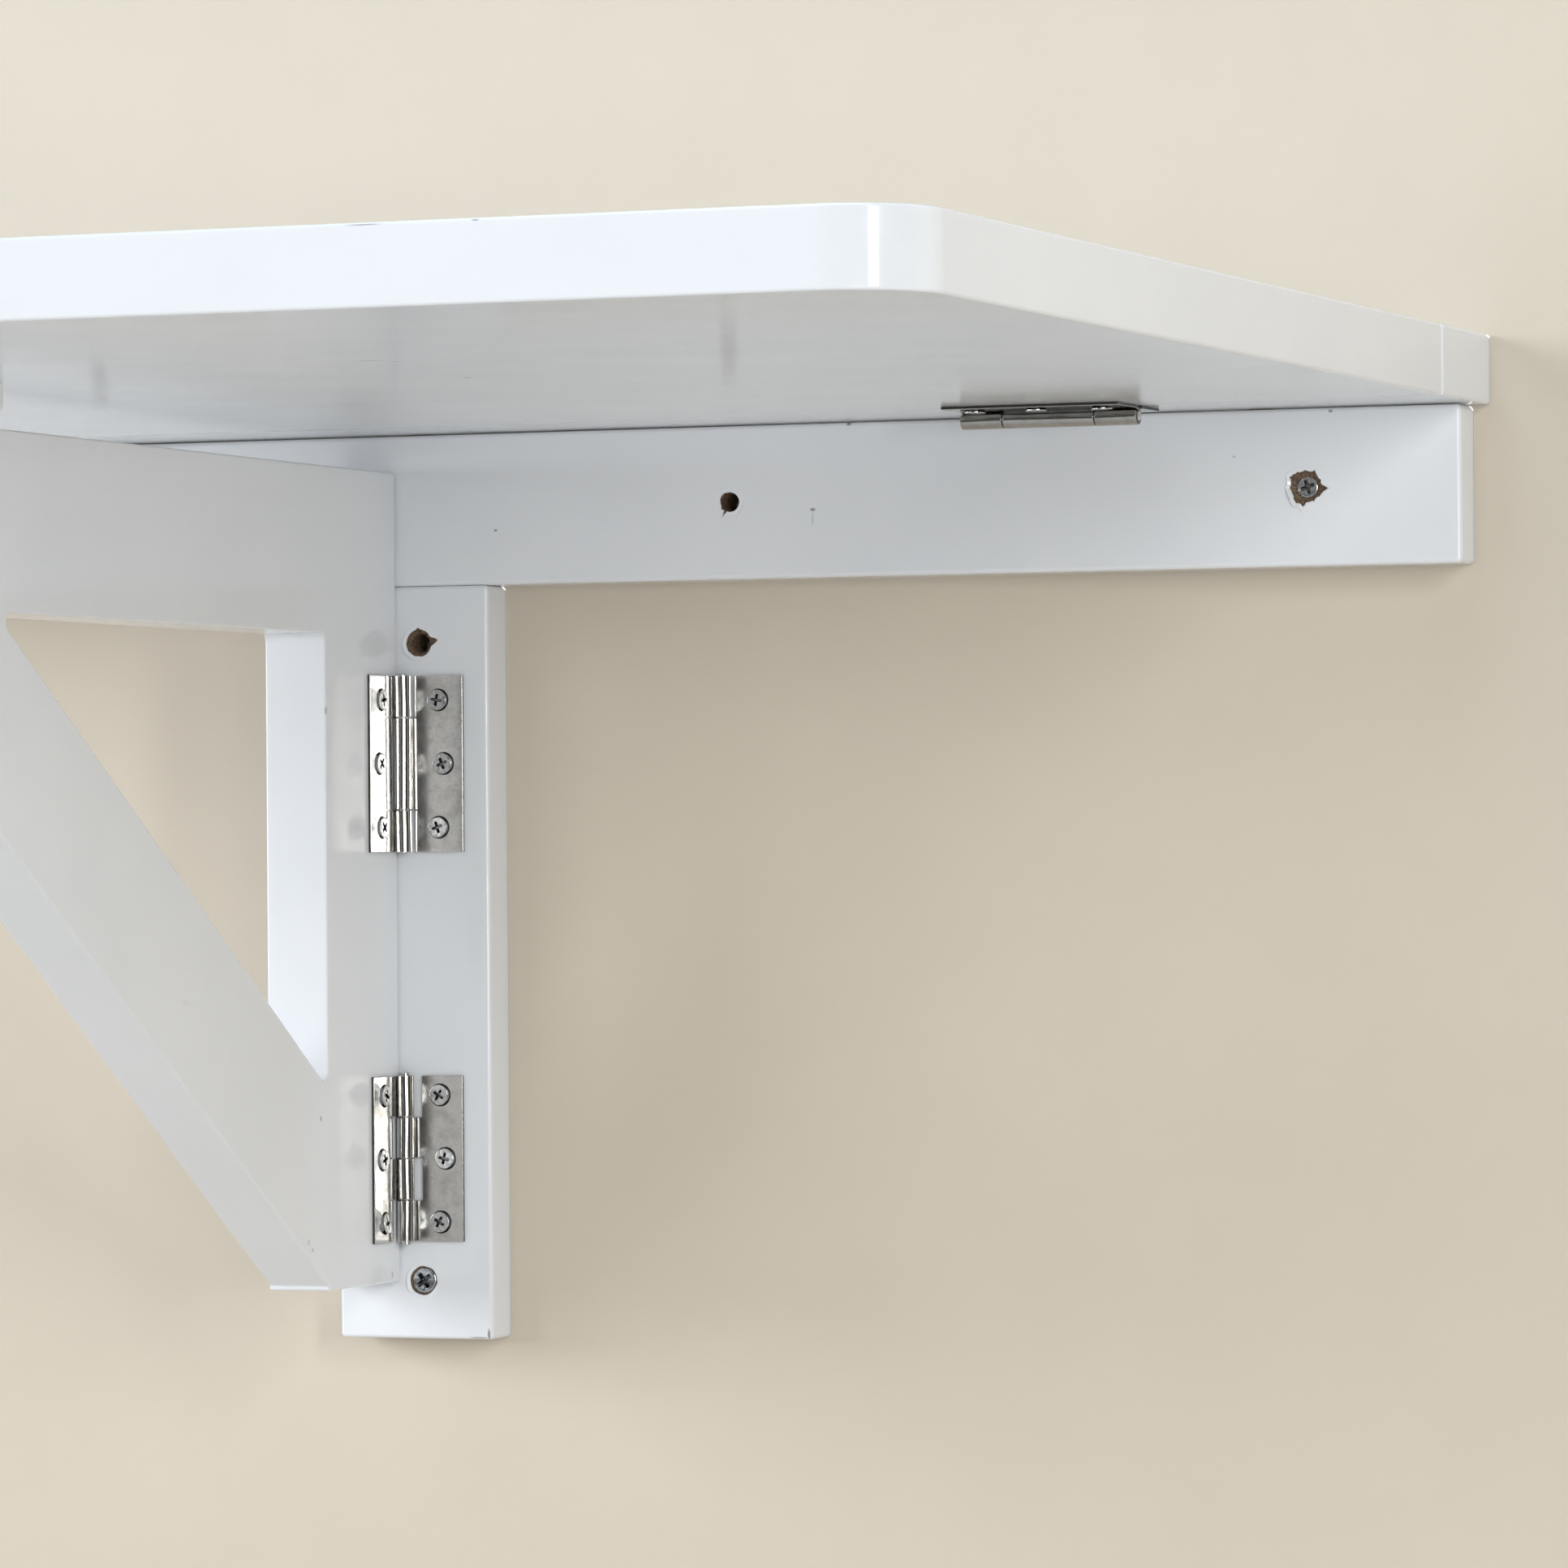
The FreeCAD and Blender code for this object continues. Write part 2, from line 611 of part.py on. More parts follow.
HINGES = [
    ("upper_hinge", "large", "post", ON_POST, "bracket", ON_BRACKET, UPPER_PLACE),
    ("lower_hinge", "small", "post", ON_POST, "bracket", ON_BRACKET, LOWER_PLACE),
    ("left_hinge", "large", "shelf", UNDER_SHELF, "leaf", UNDER_LEAF, LEFT_PLACE),
    ("right_hinge", "large", "shelf", UNDER_SHELF, "leaf", UNDER_LEAF, RIGHT_PLACE),
]


def make_hinge(name, size, fixed_to, fixed_turn, moves_with, moving_turn, place):
    """One butt hinge: two plates, a pin, and the screws of each plate."""
    seat = formula("{hinge_offset} - {hinge_plate_thick}")
    spots = screw_spots(size)
    length = formula("{screw_length}")
    pieces = [make_hinge_pin(f"{name}_pin", size, (fixed_turn, *place))]
    for board, side, turn in ((fixed_to, FIXED, fixed_turn), (moves_with, MOVING, moving_turn)):
        pieces.append(make_hinge_plate(f"{name}_{board}_plate", size, side, (turn, *place)))
        pieces.append(make_screws(f"{name}_{board}_screws", spots, seat, side, length, (turn, *place)))
    return pieces


# ---------------------------------------------------------------- the whole table
pieces = [
    make_wall_rail(),
    make_wall_post(),
    make_fixed_shelf(),
    make_shelf_dowels(),
    make_table_leaf(),
    make_rest_block(),
    make_swing_bracket(),
]
for hinge in HINGES:
    pieces.extend(make_hinge(*hinge))
doc.recompute()

for item in doc.Objects:
    if "Invalid" in item.State or "Error" in item.State:
        raise RuntimeError(f"{item.Label} did not compute: {item.State}")
for piece in pieces:
    if piece.Shape.isNull() or not piece.Shape.isValid():
        raise RuntimeError(f"{piece.Label} has no valid shape")

os.makedirs("parts", exist_ok=True)
for piece in pieces:
    piece.Shape.exportStep(f"parts/{piece.Label}.step")
    print(f"{piece.Label:28s} {len(piece.Shape.Solids)} solids {piece.Shape.Volume:12.1f} mm3")
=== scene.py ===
import json

import bpy
import numpy as np
from mathutils import Matrix, Vector
from mathutils.geometry import delaunay_2d_cdt

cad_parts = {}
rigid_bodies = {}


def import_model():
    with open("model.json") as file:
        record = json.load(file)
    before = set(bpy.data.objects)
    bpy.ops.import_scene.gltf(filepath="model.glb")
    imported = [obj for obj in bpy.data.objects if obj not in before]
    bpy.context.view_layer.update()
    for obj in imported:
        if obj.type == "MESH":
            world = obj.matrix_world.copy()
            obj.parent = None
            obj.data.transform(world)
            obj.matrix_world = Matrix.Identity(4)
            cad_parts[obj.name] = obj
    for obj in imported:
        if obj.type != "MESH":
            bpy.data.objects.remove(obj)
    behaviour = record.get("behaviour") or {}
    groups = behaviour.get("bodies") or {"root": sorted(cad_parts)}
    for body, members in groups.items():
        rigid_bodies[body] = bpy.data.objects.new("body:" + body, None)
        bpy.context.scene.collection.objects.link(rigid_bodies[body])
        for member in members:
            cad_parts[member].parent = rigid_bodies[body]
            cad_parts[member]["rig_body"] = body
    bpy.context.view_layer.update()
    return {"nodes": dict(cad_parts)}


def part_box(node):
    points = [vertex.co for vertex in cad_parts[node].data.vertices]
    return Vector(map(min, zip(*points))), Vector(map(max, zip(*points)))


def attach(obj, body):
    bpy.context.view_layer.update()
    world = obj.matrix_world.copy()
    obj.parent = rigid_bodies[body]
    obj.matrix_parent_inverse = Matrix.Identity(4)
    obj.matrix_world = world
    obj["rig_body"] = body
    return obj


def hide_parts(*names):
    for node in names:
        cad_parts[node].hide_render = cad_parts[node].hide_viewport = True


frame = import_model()

# ------------------------------------------------------------------ wall rail
# A softwood board on edge, sprayed with white gloss. It carries the shelf, and four
# screw holes go through it to the wall. The paint has burst round the drilled rims,
# which shows the brown fibre under it.
MM = 0.001
WELD = 1e-4  # points nearer than this are one point
FLAT_PULL = 1e4  # how much more a flat face turns a corner's normal than a bent one
# The bare column is bare fibre on paint and painted shade on metal.
ROW_LENGTH = 5  # inset, depth, bare, stray and lift
X, Y, Z = np.eye(3)


def corners(node):
    """A solid's lowest and highest corners, in millimetres."""
    low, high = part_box(node)
    return np.array(low) / MM, np.array(high) / MM


def outline(points, radii, hole=False, steps=6):
    """A closed line with the board on its left, rounded at each corner, and the unit
    normals that point away from the board. An arc's centre lies from the corner along
    the sum of the two sides' normals, and its points lie a radius from that centre."""
    points = np.asarray(points, float)
    radii = np.broadcast_to(np.asarray(radii, float), len(points))
    after = np.roll(points, -1, 0)
    area = (points[:, 0] * after[:, 1] - points[:, 1] * after[:, 0]).sum()
    if (area > 0) == hole:
        points, radii = points[::-1], radii[::-1]
    ahead = np.roll(points, -1, 0) - points
    ahead /= np.linalg.norm(ahead, axis=1)[:, None]
    behind = np.roll(ahead, 1, 0)
    first = np.stack([behind[:, 1], -behind[:, 0]], 1)
    last = np.stack([ahead[:, 1], -ahead[:, 0]], 1)
    turn = np.sign(behind[:, 0] * ahead[:, 1] - behind[:, 1] * ahead[:, 0])
    shared = (first * last).sum(1)
    centre = points - (turn * radii / (1 + shared))[:, None] * (first + last)
    sweep = turn * np.arccos(np.clip(shared, -1, 1))
    start = np.arctan2(first[:, 1], first[:, 0])
    angle = start[:, None] + np.linspace(0, 1, steps + 1) * sweep[:, None]
    normal = np.stack([np.cos(angle), np.sin(angle)], -1)
    line = centre[:, None] + (turn * radii)[:, None, None] * normal
    return line.reshape(-1, 2), normal.reshape(-1, 2)


def oblong(low, high, a, b):
    """The four corners of a rectangle between two corners, on two of their axes."""
    return [(low[a], low[b]), (high[a], low[b]), (high[a], high[b]), (low[a], high[b])]


def ring(centre, radius, hole=True, steps=48):
    """A circle as a closed line and its normals away from the board."""
    angle = np.linspace(0, 2 * np.pi, steps, endpoint=False) * (-1 if hole else 1)
    normal = np.stack([np.cos(angle), np.sin(angle)], 1)
    return centre + radius * normal, -normal if hole else normal


def eased(thick, radius, steps=4):
    """The rows of a board's edge from its face to its back: a quarter circle, the flat,
    and a quarter circle. A row is how far in it lies, how deep and how bare it is (on
    metal, how much painted shade it has), and how much it strays and lifts."""
    turn = np.linspace(0, np.pi / 2, steps + 1)
    inset, depth = radius * (1 - np.sin(turn)), radius * (1 - np.cos(turn))
    inset, depth = np.r_[inset, inset[::-1]], np.r_[depth, (thick - depth)[::-1]]
    return np.stack([inset, depth, 0 * inset, 0 * inset], 1)


def inside(spots, lines):
    """Whether each spot lies in the board, which it does where a ray from it crosses
    the lines an odd number of times."""
    start = np.concatenate(lines)
    end = np.concatenate([np.roll(line, -1, 0) for line in lines])
    x, y = spots[:, :1], spots[:, 1:]
    astride = (start[:, 1] > y) != (end[:, 1] > y)
    rise = np.where(end[:, 1] == start[:, 1], 1, end[:, 1] - start[:, 1])
    reach = start[:, 0] + (y - start[:, 1]) * (end[:, 0] - start[:, 0]) / rise
    return (astride & (x < reach)).sum(1) % 2 == 1


def filled(points, lines, folds=()):
    """Triangles between closed lines of point numbers. Folds are lines across the board
    that no triangle may cross."""
    used = np.concatenate(lines)
    order = np.zeros(len(points), int)
    order[used] = np.arange(len(used))
    joins = [np.stack([line, np.roll(line, -1)], 1) for line in lines]
    joins = order[np.concatenate([*joins, np.array(folds, int).reshape(-1, 2)])]
    spots = [Vector(point) for point in points[used, :2]]
    _, _, made, origin, _, _ = delaunay_2d_cdt(spots, joins.tolist(), [], 1, 1e-7)
    made = np.array([[origin[corner][0] for corner in face] for face in made])
    middles = points[used][made][:, :, :2].mean(1)
    made = used[made[inside(middles, [points[line, :2] for line in lines])]]
    a, b, c = (points[made[:, i], :2] for i in range(3))
    area = (b - a)[:, 0] * (c - a)[:, 1] - (b - a)[:, 1] * (c - a)[:, 0]
    made[area < 0] = made[area < 0][:, ::-1]
    return made


def cut(edges, folds=None):
    """The skin of a flat piece as points (across, along, depth), faces, which faces lie
    flat, and how bare each point is, or on metal how much painted shade it has. An edge
    is a line, its normals, its rows, its raggedness (stray and lift at each point), and
    whether it goes through: its line is carried through its rows, and the first and
    last rows are filled in between."""
    points, bands, front, back, floors, bare_and_shade, count = [], [], [], [], [], [], 0
    for line, normal, rows, ragged, through in edges:
        size = (len(rows), len(line))
        rows = np.pad(rows, ((0, 0), (0, ROW_LENGTH - rows.shape[1])))
        stray, lift = np.broadcast_to(ragged, (2, len(line)))
        flat = line - normal * (rows[:, :1] + rows[:, 3:4] * stray)[..., None]
        depth = rows[:, 1:2] + rows[:, 4:] * lift
        points.append(np.concatenate([flat, depth[..., None]], 2).reshape(-1, 3))
        bare_and_shade.append(np.repeat(rows[:, 2], len(line)))
        grid = count + np.arange(size[0] * size[1]).reshape(size)
        after = np.roll(grid, -1, 1)
        bands.append(np.stack([grid[:-1], grid[1:], after[1:], after[:-1]], -1).reshape(-1, 4))
        front.append(grid[0])
        (back if through else floors).append(grid[-1])
        count += size[0] * size[1]
    points = np.concatenate(points)
    folds = folds(front[0], back[0]) if folds else ((), ())
    caps = [filled(points, front, folds[0]), filled(points, back, folds[1])[:, ::-1]]
    caps += [filled(points, [line[::-1]]) for line in floors]
    faces = [face for part in (*bands, *caps) for face in part.tolist()]
    flat = np.repeat([False, True], [sum(map(len, bands)), sum(map(len, caps))])
    return points, faces, flat, np.concatenate(bare_and_shade)


def soft_corners(points, faces, weight, limit):
    """One normal for each corner of each face: the sum of the flat normals of all faces
    at that point that lean less than the limit from this face, each times its weight."""
    size = np.array([len(face) for face in faces])
    face = np.repeat(np.arange(len(faces)), size)
    point = np.concatenate(faces)
    start = np.cumsum(size) - size
    after = np.arange(len(point)) + 1
    after[start + size - 1] = start
    flat = np.add.reduceat(np.cross(points[point], points[point[after]]), start) / 2
    area = np.maximum(np.linalg.norm(flat, axis=1), 1e-12)
    flat /= area[:, None]
    order = np.argsort(point, kind="stable")
    share = np.bincount(point)
    begin = np.cumsum(share) - share
    many = share[point]
    here = np.repeat(np.arange(len(point)), many)
    ramp = np.arange(len(here)) - np.repeat(np.cumsum(many) - many, many)
    there = order[begin[point[here]] + ramp]
    near = (flat[face[here]] * flat[face[there]]).sum(1) > np.cos(np.radians(limit))
    total = np.zeros((len(point), 3))
    pull = flat * (area * weight)[:, None]
    np.add.at(total, here[near], pull[face[there[near]]])
    return total / np.linalg.norm(total, axis=1)[:, None]


def make_mesh(name, shells, limit=40):
    """One mesh object of several shells, each of points in millimetres, faces, which
    faces weigh more, and how bare each point is, or on metal how much painted shade it
    has. Points that meet are merged, and faces that meet at less than the limit, in
    degrees, are shaded as one."""
    points, faces, flat, bare_and_shade, count = [], [], [], [], 0
    for shell_points, shell_faces, shell_flat, shell_bare_and_shade in shells:
        points.append(shell_points)
        faces += [[corner + count for corner in face] for face in shell_faces]
        flat.append(shell_flat)
        bare_and_shade.append(shell_bare_and_shade)
        count += len(shell_points)
    points, flat, bare_and_shade = np.concatenate(points), np.concatenate(flat), np.concatenate(bare_and_shade)
    places = np.round(points / WELD).astype(np.int64)
    _, kept, merged = np.unique(places, axis=0, return_index=True, return_inverse=True)
    merged = merged.reshape(-1)
    faces = [list(dict.fromkeys(merged[face].tolist())) for face in faces]
    flat = flat[[len(face) > 2 for face in faces]]
    faces = [face for face in faces if len(face) > 2]
    points, bare_and_shade = points[kept], bare_and_shade[kept]
    mesh = bpy.data.meshes.new(name)
    mesh.from_pydata((points * MM).tolist(), [], faces)
    mesh.shade_smooth()
    # The attribute holds bare fibre on paint and painted shade on metal.
    shown = mesh.attributes.new("bare_and_shade", "FLOAT", "POINT")
    shown.data.foreach_set("value", bare_and_shade.astype(np.float32))
    weight = np.where(flat, FLAT_PULL, 1.0)
    mesh.normals_split_custom_set(soft_corners(points, faces, weight, limit).tolist())
    piece = bpy.data.objects.new(name, mesh)
    bpy.context.scene.collection.objects.link(piece)
    return piece


def stand_for(piece, node, finish):
    """The piece takes the finish and the body of the frame's node, and the node is hidden."""
    piece.data.materials.append(finish)
    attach(piece, frame["nodes"][node]["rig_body"])
    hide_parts(node)


def set_in(shell, origin, across, along, outward):
    """Moves a skin from its own plane to the table: its face lies at the origin, turned
    outward, and its depth goes the other way."""
    points, faces, flat, bare_and_shade = shell
    points = origin + points[:, :1] * across + points[:, 1:2] * along - points[:, 2:] * outward
    if np.cross(across, along) @ outward < 0:
        faces = [face[::-1] for face in faces]
    return points, faces, flat, bare_and_shade


class Value:
    """A socket of a finish. Sums on it add the Math nodes that work them out."""

    def __init__(self, finish, socket):
        self.finish, self.socket = finish, socket

    def worked(self, how, *parts):
        """One Math node, on sockets or on plain numbers."""
        return self.finish.node("Math", {"operation": how}, dict(enumerate(parts)))

    def __add__(self, other):
        return self.worked("ADD", self, other)

    def __sub__(self, other):
        return self.worked("SUBTRACT", self, other)

    def __rsub__(self, other):
        return self.worked("SUBTRACT", other, self)

    def __mul__(self, other):
        return self.worked("MULTIPLY", self, other)

    __radd__, __rmul__ = __add__, __mul__

    def most(self, other):
        """The larger of the two."""
        return self.worked("MAXIMUM", self, other)

    def size(self):
        """The value without its sign."""
        return self.worked("ABSOLUTE", self)


class Finish:
    """The nodes of one material, from its pattern to its surface."""

    def __init__(self, name):
        self.material = bpy.data.materials.new(name)
        self.material.use_nodes = True
        self.tree = self.material.node_tree
        self.tree.nodes.clear()

    def node(self, kind, settings=None, sockets=None, out=0):
        """Adds a node: its settings first, then the values or links of its sockets."""
        made = self.tree.nodes.new("ShaderNode" + kind)
        for name, value in (settings or {}).items():
            setattr(made, name, value)
        for name, value in (sockets or {}).items():
            if isinstance(value, Value):
                self.tree.links.new(value.socket, made.inputs[name])
            else:
                made.inputs[name].default_value = value
        return Value(self, made.outputs[out]) if len(made.outputs) else None

    def step(self, value, low, high):
        """0 at low, 1 at high and a smooth change between them, upwards or downwards."""
        smooth = {"interpolation_type": "SMOOTHSTEP"}
        return self.node("MapRange", smooth, {0: value, 1: low, 2: high})

    def mix(self, share, first, second):
        """The second colour over the first, by its share."""
        return self.node("Mix", {"data_type": "RGBA"}, {0: share, 6: first, 7: second}, 2)

    def place(self, stretch=(1, 1, 1), shift=(0, 0, 0)):
        """The place on the piece in millimetres, stretched and shifted for a pattern."""
        spot = self.node("TexCoord", out="Object")
        scale = tuple(factor / MM for factor in stretch)
        return self.node("Mapping", None, {"Vector": spot, "Scale": scale, "Location": shift})

    def noise(self, place, scale, detail=2.0, rough=0.5):
        """Soft clouds between 0 and 1, as wide as one over the scale."""
        sockets = {"Vector": place, "Scale": scale, "Detail": detail, "Roughness": rough}
        return self.node("TexNoise", None, sockets)

    def reach(self, place, direction):
        """How far a place or a normal goes in a direction: their dot product."""
        dot = {"operation": "DOT_PRODUCT"}
        return self.node("VectorMath", dot, {0: place, 1: direction}, "Value")

    def surface(self, colour, roughness, height, metallic=0.0):
        """The shader, with a bump as high as the height in millimetres."""
        bump = self.node("Bump", None, {"Strength": 1.0, "Distance": MM, "Height": height})
        sockets = {"Base Color": colour, "Roughness": roughness, "Metallic": metallic}
        shader = self.node("BsdfPrincipled", None, sockets | {"Normal": bump})
        self.node("OutputMaterial", None, {"Surface": shader})
        return self.material


def scuffs(finish, place, marks):
    """How dark the marks make each place, added up. A mark is its centre, its reach along
    each axis and its strength, and it fades to 0 where the stretched distance is 1."""
    total = 0.0
    for centre, reach, strength in marks:
        scale = tuple(1 / r for r in reach)
        away = finish.node("VectorMath", {"operation": "SUBTRACT"}, {0: place, 1: centre})
        away = finish.node("VectorMath", {"operation": "MULTIPLY"}, {0: away, 1: scale})
        away = finish.node("VectorMath", {"operation": "LENGTH"}, {0: away}, "Value")
        total = finish.step(away, 1.0, 0.35) * strength + total
    return total


# The paint, what lies on it, and what lies under it.
SHADE_WHITE, CLEAR_WHITE = (0.808, 0.828, 0.856, 1), (0.838, 0.855, 0.881, 1)
STREAK_WHITE, WORN_WHITE = (0.822, 0.830, 0.842, 1), (0.72, 0.71, 0.69, 1)
NIB_BROWN, SCUFF_GREY = (0.20, 0.17, 0.14, 1), (0.17, 0.16, 0.16, 1)
DARK_FIBRE, PALE_FIBRE = (0.08, 0.045, 0.025, 1), (0.29, 0.20, 0.132, 1)


def gloss_paint(name, grain, shift, marks=(), slope=None):
    """White gloss over board. It has the slow waves of the board, a fine sprayed peel,
    faint fibres along the grain, dust nibs, thinner paint on the eased edges, and bare
    brown fibre where the paint has burst."""
    coat = Finish(name)
    spot = coat.place(shift=shift)
    along = coat.place([0.04 if axis == grain else 1.0 for axis in "XYZ"], shift)
    cloud = coat.noise(spot, 0.011, 3.0)
    peel = coat.noise(spot, 0.42, 1.0)
    wave = coat.noise(spot, 0.035, 1.0)
    fibre = coat.noise(along, 0.55, 3.0, 0.6)
    streak = coat.noise(along, 0.12, 2.0)
    bare_and_shade = coat.node("Attribute", {"attribute_name": "bare_and_shade"}, out="Fac")

    normal = coat.node("TexCoord", out="Normal")
    turned = coat.node("SeparateXYZ", None, {0: normal})
    sides = [Value(coat, turned.socket.node.outputs[i]).size() for i in range(3)]
    facing = sides[0].most(sides[1]).most(sides[2])
    if slope:
        facing = facing.most(coat.reach(normal, slope).size())
    edge = coat.step(facing, 0.995, 0.86)
    rubbed = edge * coat.step(coat.noise(spot, 0.05, 3.0), 0.52, 0.70)

    cell = coat.node("TexVoronoi", None, {"Vector": spot, "Scale": 0.021})
    lot = coat.node("SeparateColor", None, {0: Value(coat, cell.socket.node.outputs["Color"])})
    nib = coat.step(cell, 0.0105, 0.0055) * coat.step(lot, 0.62, 0.66)
    scuff = scuffs(coat, coat.place(), marks)

    white = coat.mix(coat.step(cloud, 0.32, 0.68), SHADE_WHITE, CLEAR_WHITE)
    white = coat.mix(coat.step(streak, 0.45, 0.75) * 0.2, white, STREAK_WHITE)
    white = coat.mix(rubbed * 0.12, white, WORN_WHITE)
    white = coat.mix(nib * 0.55, white, NIB_BROWN)
    white = coat.mix(scuff, white, SCUFF_GREY)
    tuft = coat.noise(spot, 1.3, 4.0, 0.7)
    brown = coat.mix(coat.step(tuft, 0.35, 0.7), DARK_FIBRE, PALE_FIBRE)
    torn = coat.step(bare_and_shade + (coat.noise(spot, 1.1, 2.0) - 0.5) * 0.5, 0.42, 0.60)
    colour = coat.mix(torn, white, brown)
    roughness = (0.10 + cloud * 0.06 + rubbed * 0.08 + scuff * 0.06) * (1 - torn) + torn * 0.85
    height = peel * 0.004 + wave * 0.03 + fibre * 0.002 + nib * 0.05
    height = height + torn * coat.noise(spot, 1.6, 4.0, 0.7) * 0.5
    return coat.surface(colour, roughness, height)


BURR = [  # from flat paint up over the burr and down to the torn edge
    (2.1, 0, 0, 1, 0), (1.75, 0, 0, 1, -0.22), (1.5, 0, 0, 1, -0.85), (1.25, 0, 0, 1, -1),
    (0.95, 0, 0, 1, -0.8), (0.6, 0, 0, 1, -0.4), (0.25, -0.03, 0, 1, -0.15),
    (0.06, 0.03, 0.35, 1, 0),
]


def fixing_rows(mouth, bore, thick):
    """The rows of a wall screw's hole, from the burr of paint round it, over the burst
    rim, down the cone or straight away into the bore, and through to the back."""
    cone = mouth - bore
    rim = [(-0.1, 0.22, 1, 0.75, 0), (-cone * 0.5, 0.2 + cone * 0.55, 1, 0.35, 0)]
    wall = [(0.35 + cone, 0.12), (1.5 + cone, 0), (thick * 0.6, 0), (thick - 0.3, 0)]
    rows = BURR + (rim if cone > 0 else [])
    rows += [(-cone, depth, 1, stray, 0) for depth, stray in wall]
    return np.array([*rows, (-cone, thick, 0, 0, 0)], float)


LEAST_LIFT, LEAST_STRAY = 0.08, -0.2


def torn_rim(seed, roughness, chips=(), burr=(225, 60, 0.3), steps=72):
    """How far the burst rim strays outwards at each angle, and how high its paint lifts.
    The stray is a few waves of random size and a pointed tooth for each chip (angle,
    reach, half width). The lift is a bell curve about the burr (angle, width, height),
    with a ripple of seven waves on it."""
    angle = -np.linspace(0, 2 * np.pi, steps, endpoint=False)
    chance = np.random.default_rng(seed)
    waves = np.arange(2, 12)[:, None]
    size = chance.normal(size=(10, 1)) / np.sqrt(waves)
    stray = roughness * (size * np.cos(waves * angle + chance.uniform(0, 6.3, (10, 1)))).sum(0)
    for turn, reach, half in chips:
        off = np.abs((angle - np.radians(turn) + np.pi) % (2 * np.pi) - np.pi)
        stray = stray + reach * np.maximum(0, 1 - off / np.radians(half)) ** 1.5
    off = (angle - np.radians(burr[0]) + np.pi) % (2 * np.pi) - np.pi
    bell = np.exp(-((off / np.radians(burr[1])) ** 2))
    lift = LEAST_LIFT + burr[2] * bell * (1 + 0.25 * np.cos(7 * angle))
    return np.maximum(stray, LEAST_STRAY), lift


def fixing(centre, mouth, thick, ragged):
    """One wall screw's hole, as an edge of its board."""
    line, normal = ring(np.array(centre, float), mouth, steps=len(ragged[0]))
    return line, normal, fixing_rows(mouth, BORE, thick), ragged, True


BORE, MOUTH = 3.4, 5.0
INNER_HOLE, OUTER_HOLE = (124.5, 0.0), (338.5, 0.0)
NOTCHES = [(150, 0.8, 75), (218, 1.2, 20), (240, 3.3, 10)]  # angle, reach, half width
CRATER = [
    (355, 2.0, 12), (22, 0.7, 7), (60, 0.8, 9), (92, 0.9, 7), (120, 0.7, 9), (150, 0.5, 7),
    (182, 0.4, 7), (238, 0.5, 8), (262, 1.6, 13), (300, 0.7, 8), (325, 0.5, 7),
]
SEAM = 0.35  # the rail is this much short, so a dark line shows under the shelf
RAIL_CORNER, RAIL_EASE = 1.9, 1.7
low, high = corners("wall_rail")
RAIL_FACE = low[1]
BOARD = high[1] - low[1]
high[2] -= SEAM
rail_edges = [
    (*outline(oblong(low, high, 0, 2), RAIL_CORNER), eased(BOARD, RAIL_EASE), 0.0, True),
    fixing((-OUTER_HOLE[0], 0), MOUTH, BOARD, torn_rim(3, 0.10)),
    fixing((-INNER_HOLE[0], 0), BORE, BOARD, torn_rim(4, 0.08)),
    fixing(INNER_HOLE, BORE, BOARD, torn_rim(5, 0.03, NOTCHES, (320, 60, -0.55))),
    fixing(OUTER_HOLE, MOUTH + 0.6, BOARD, torn_rim(6, 0.34, CRATER, (212, 55, 1.15))),
]
RAIL_MARKS = [  # centre, reach along each axis, strength
    ((156.0, -18, -3.4), (1.4, 3, 0.8), 0.75),
    ((155.9, -18, -6.6), (0.6, 3, 3.4), 0.22),
    ((169.8, -18, 26.6), (1.3, 3, 0.9), 0.8),
    ((33.5, -18, -7.9), (0.9, 3, 0.7), 0.7),
    ((312.6, -18, 11.1), (0.9, 3, 0.6), 0.35),
    ((347.6, -18, 25.9), (1.1, 3, 0.8), 0.7),
]
rail = make_mesh("painted_rail", [set_in(cut(rail_edges), RAIL_FACE * Y, X, Z, -Y)])
stand_for(rail, "wall_rail", gloss_paint("rail_gloss", "X", (11, 3, 5), RAIL_MARKS))

# ------------------------------------------------------------------ wall post
# The same board upright under the rail, which the bracket hangs from. It has a screw
# hole above the upper hinge and one below the lower hinge, and its foot has a corner
# where the paint has cracked.
POST_CORNER, POST_EASE = 1.7, 1.5
UPPER_HOLE, LOWER_HOLE = (3.0, -48.0), (3.0, -278.5)
UPPER_CHIPS = [(8, 2.8, 22), (95, 0.7, 12), (185, 0.3, 18)]
LOWER_CHIPS = [(352, 0.4, 14)]
low, high = corners("wall_post")
post_edges = [
    (*outline(oblong(low, high, 0, 2), POST_CORNER), eased(BOARD, POST_EASE), 0.0, True),
    fixing(UPPER_HOLE, MOUTH - 0.1, BOARD, torn_rim(7, 0.12, UPPER_CHIPS, (205, 70, 0.6))),
    fixing(LOWER_HOLE, MOUTH + 0.2, BOARD, torn_rim(8, 0.06, LOWER_CHIPS, (190, 45, 0.6))),
]
POST_MARKS = [
    ((28.6, -18, -297.6), (0.7, 4, 2.6), 0.8),
    ((24.6, -18, -298.9), (5.0, 4, 0.45), 0.55),
    ((-9.0, -18, -57.0), (1.6, 3, 0.5), 0.25),
]
post = make_mesh("painted_post", [set_in(cut(post_edges), RAIL_FACE * Y, X, Z, -Y)])
stand_for(post, "wall_post", gloss_paint("post_gloss", "Z", (7, 19, 2), POST_MARKS))

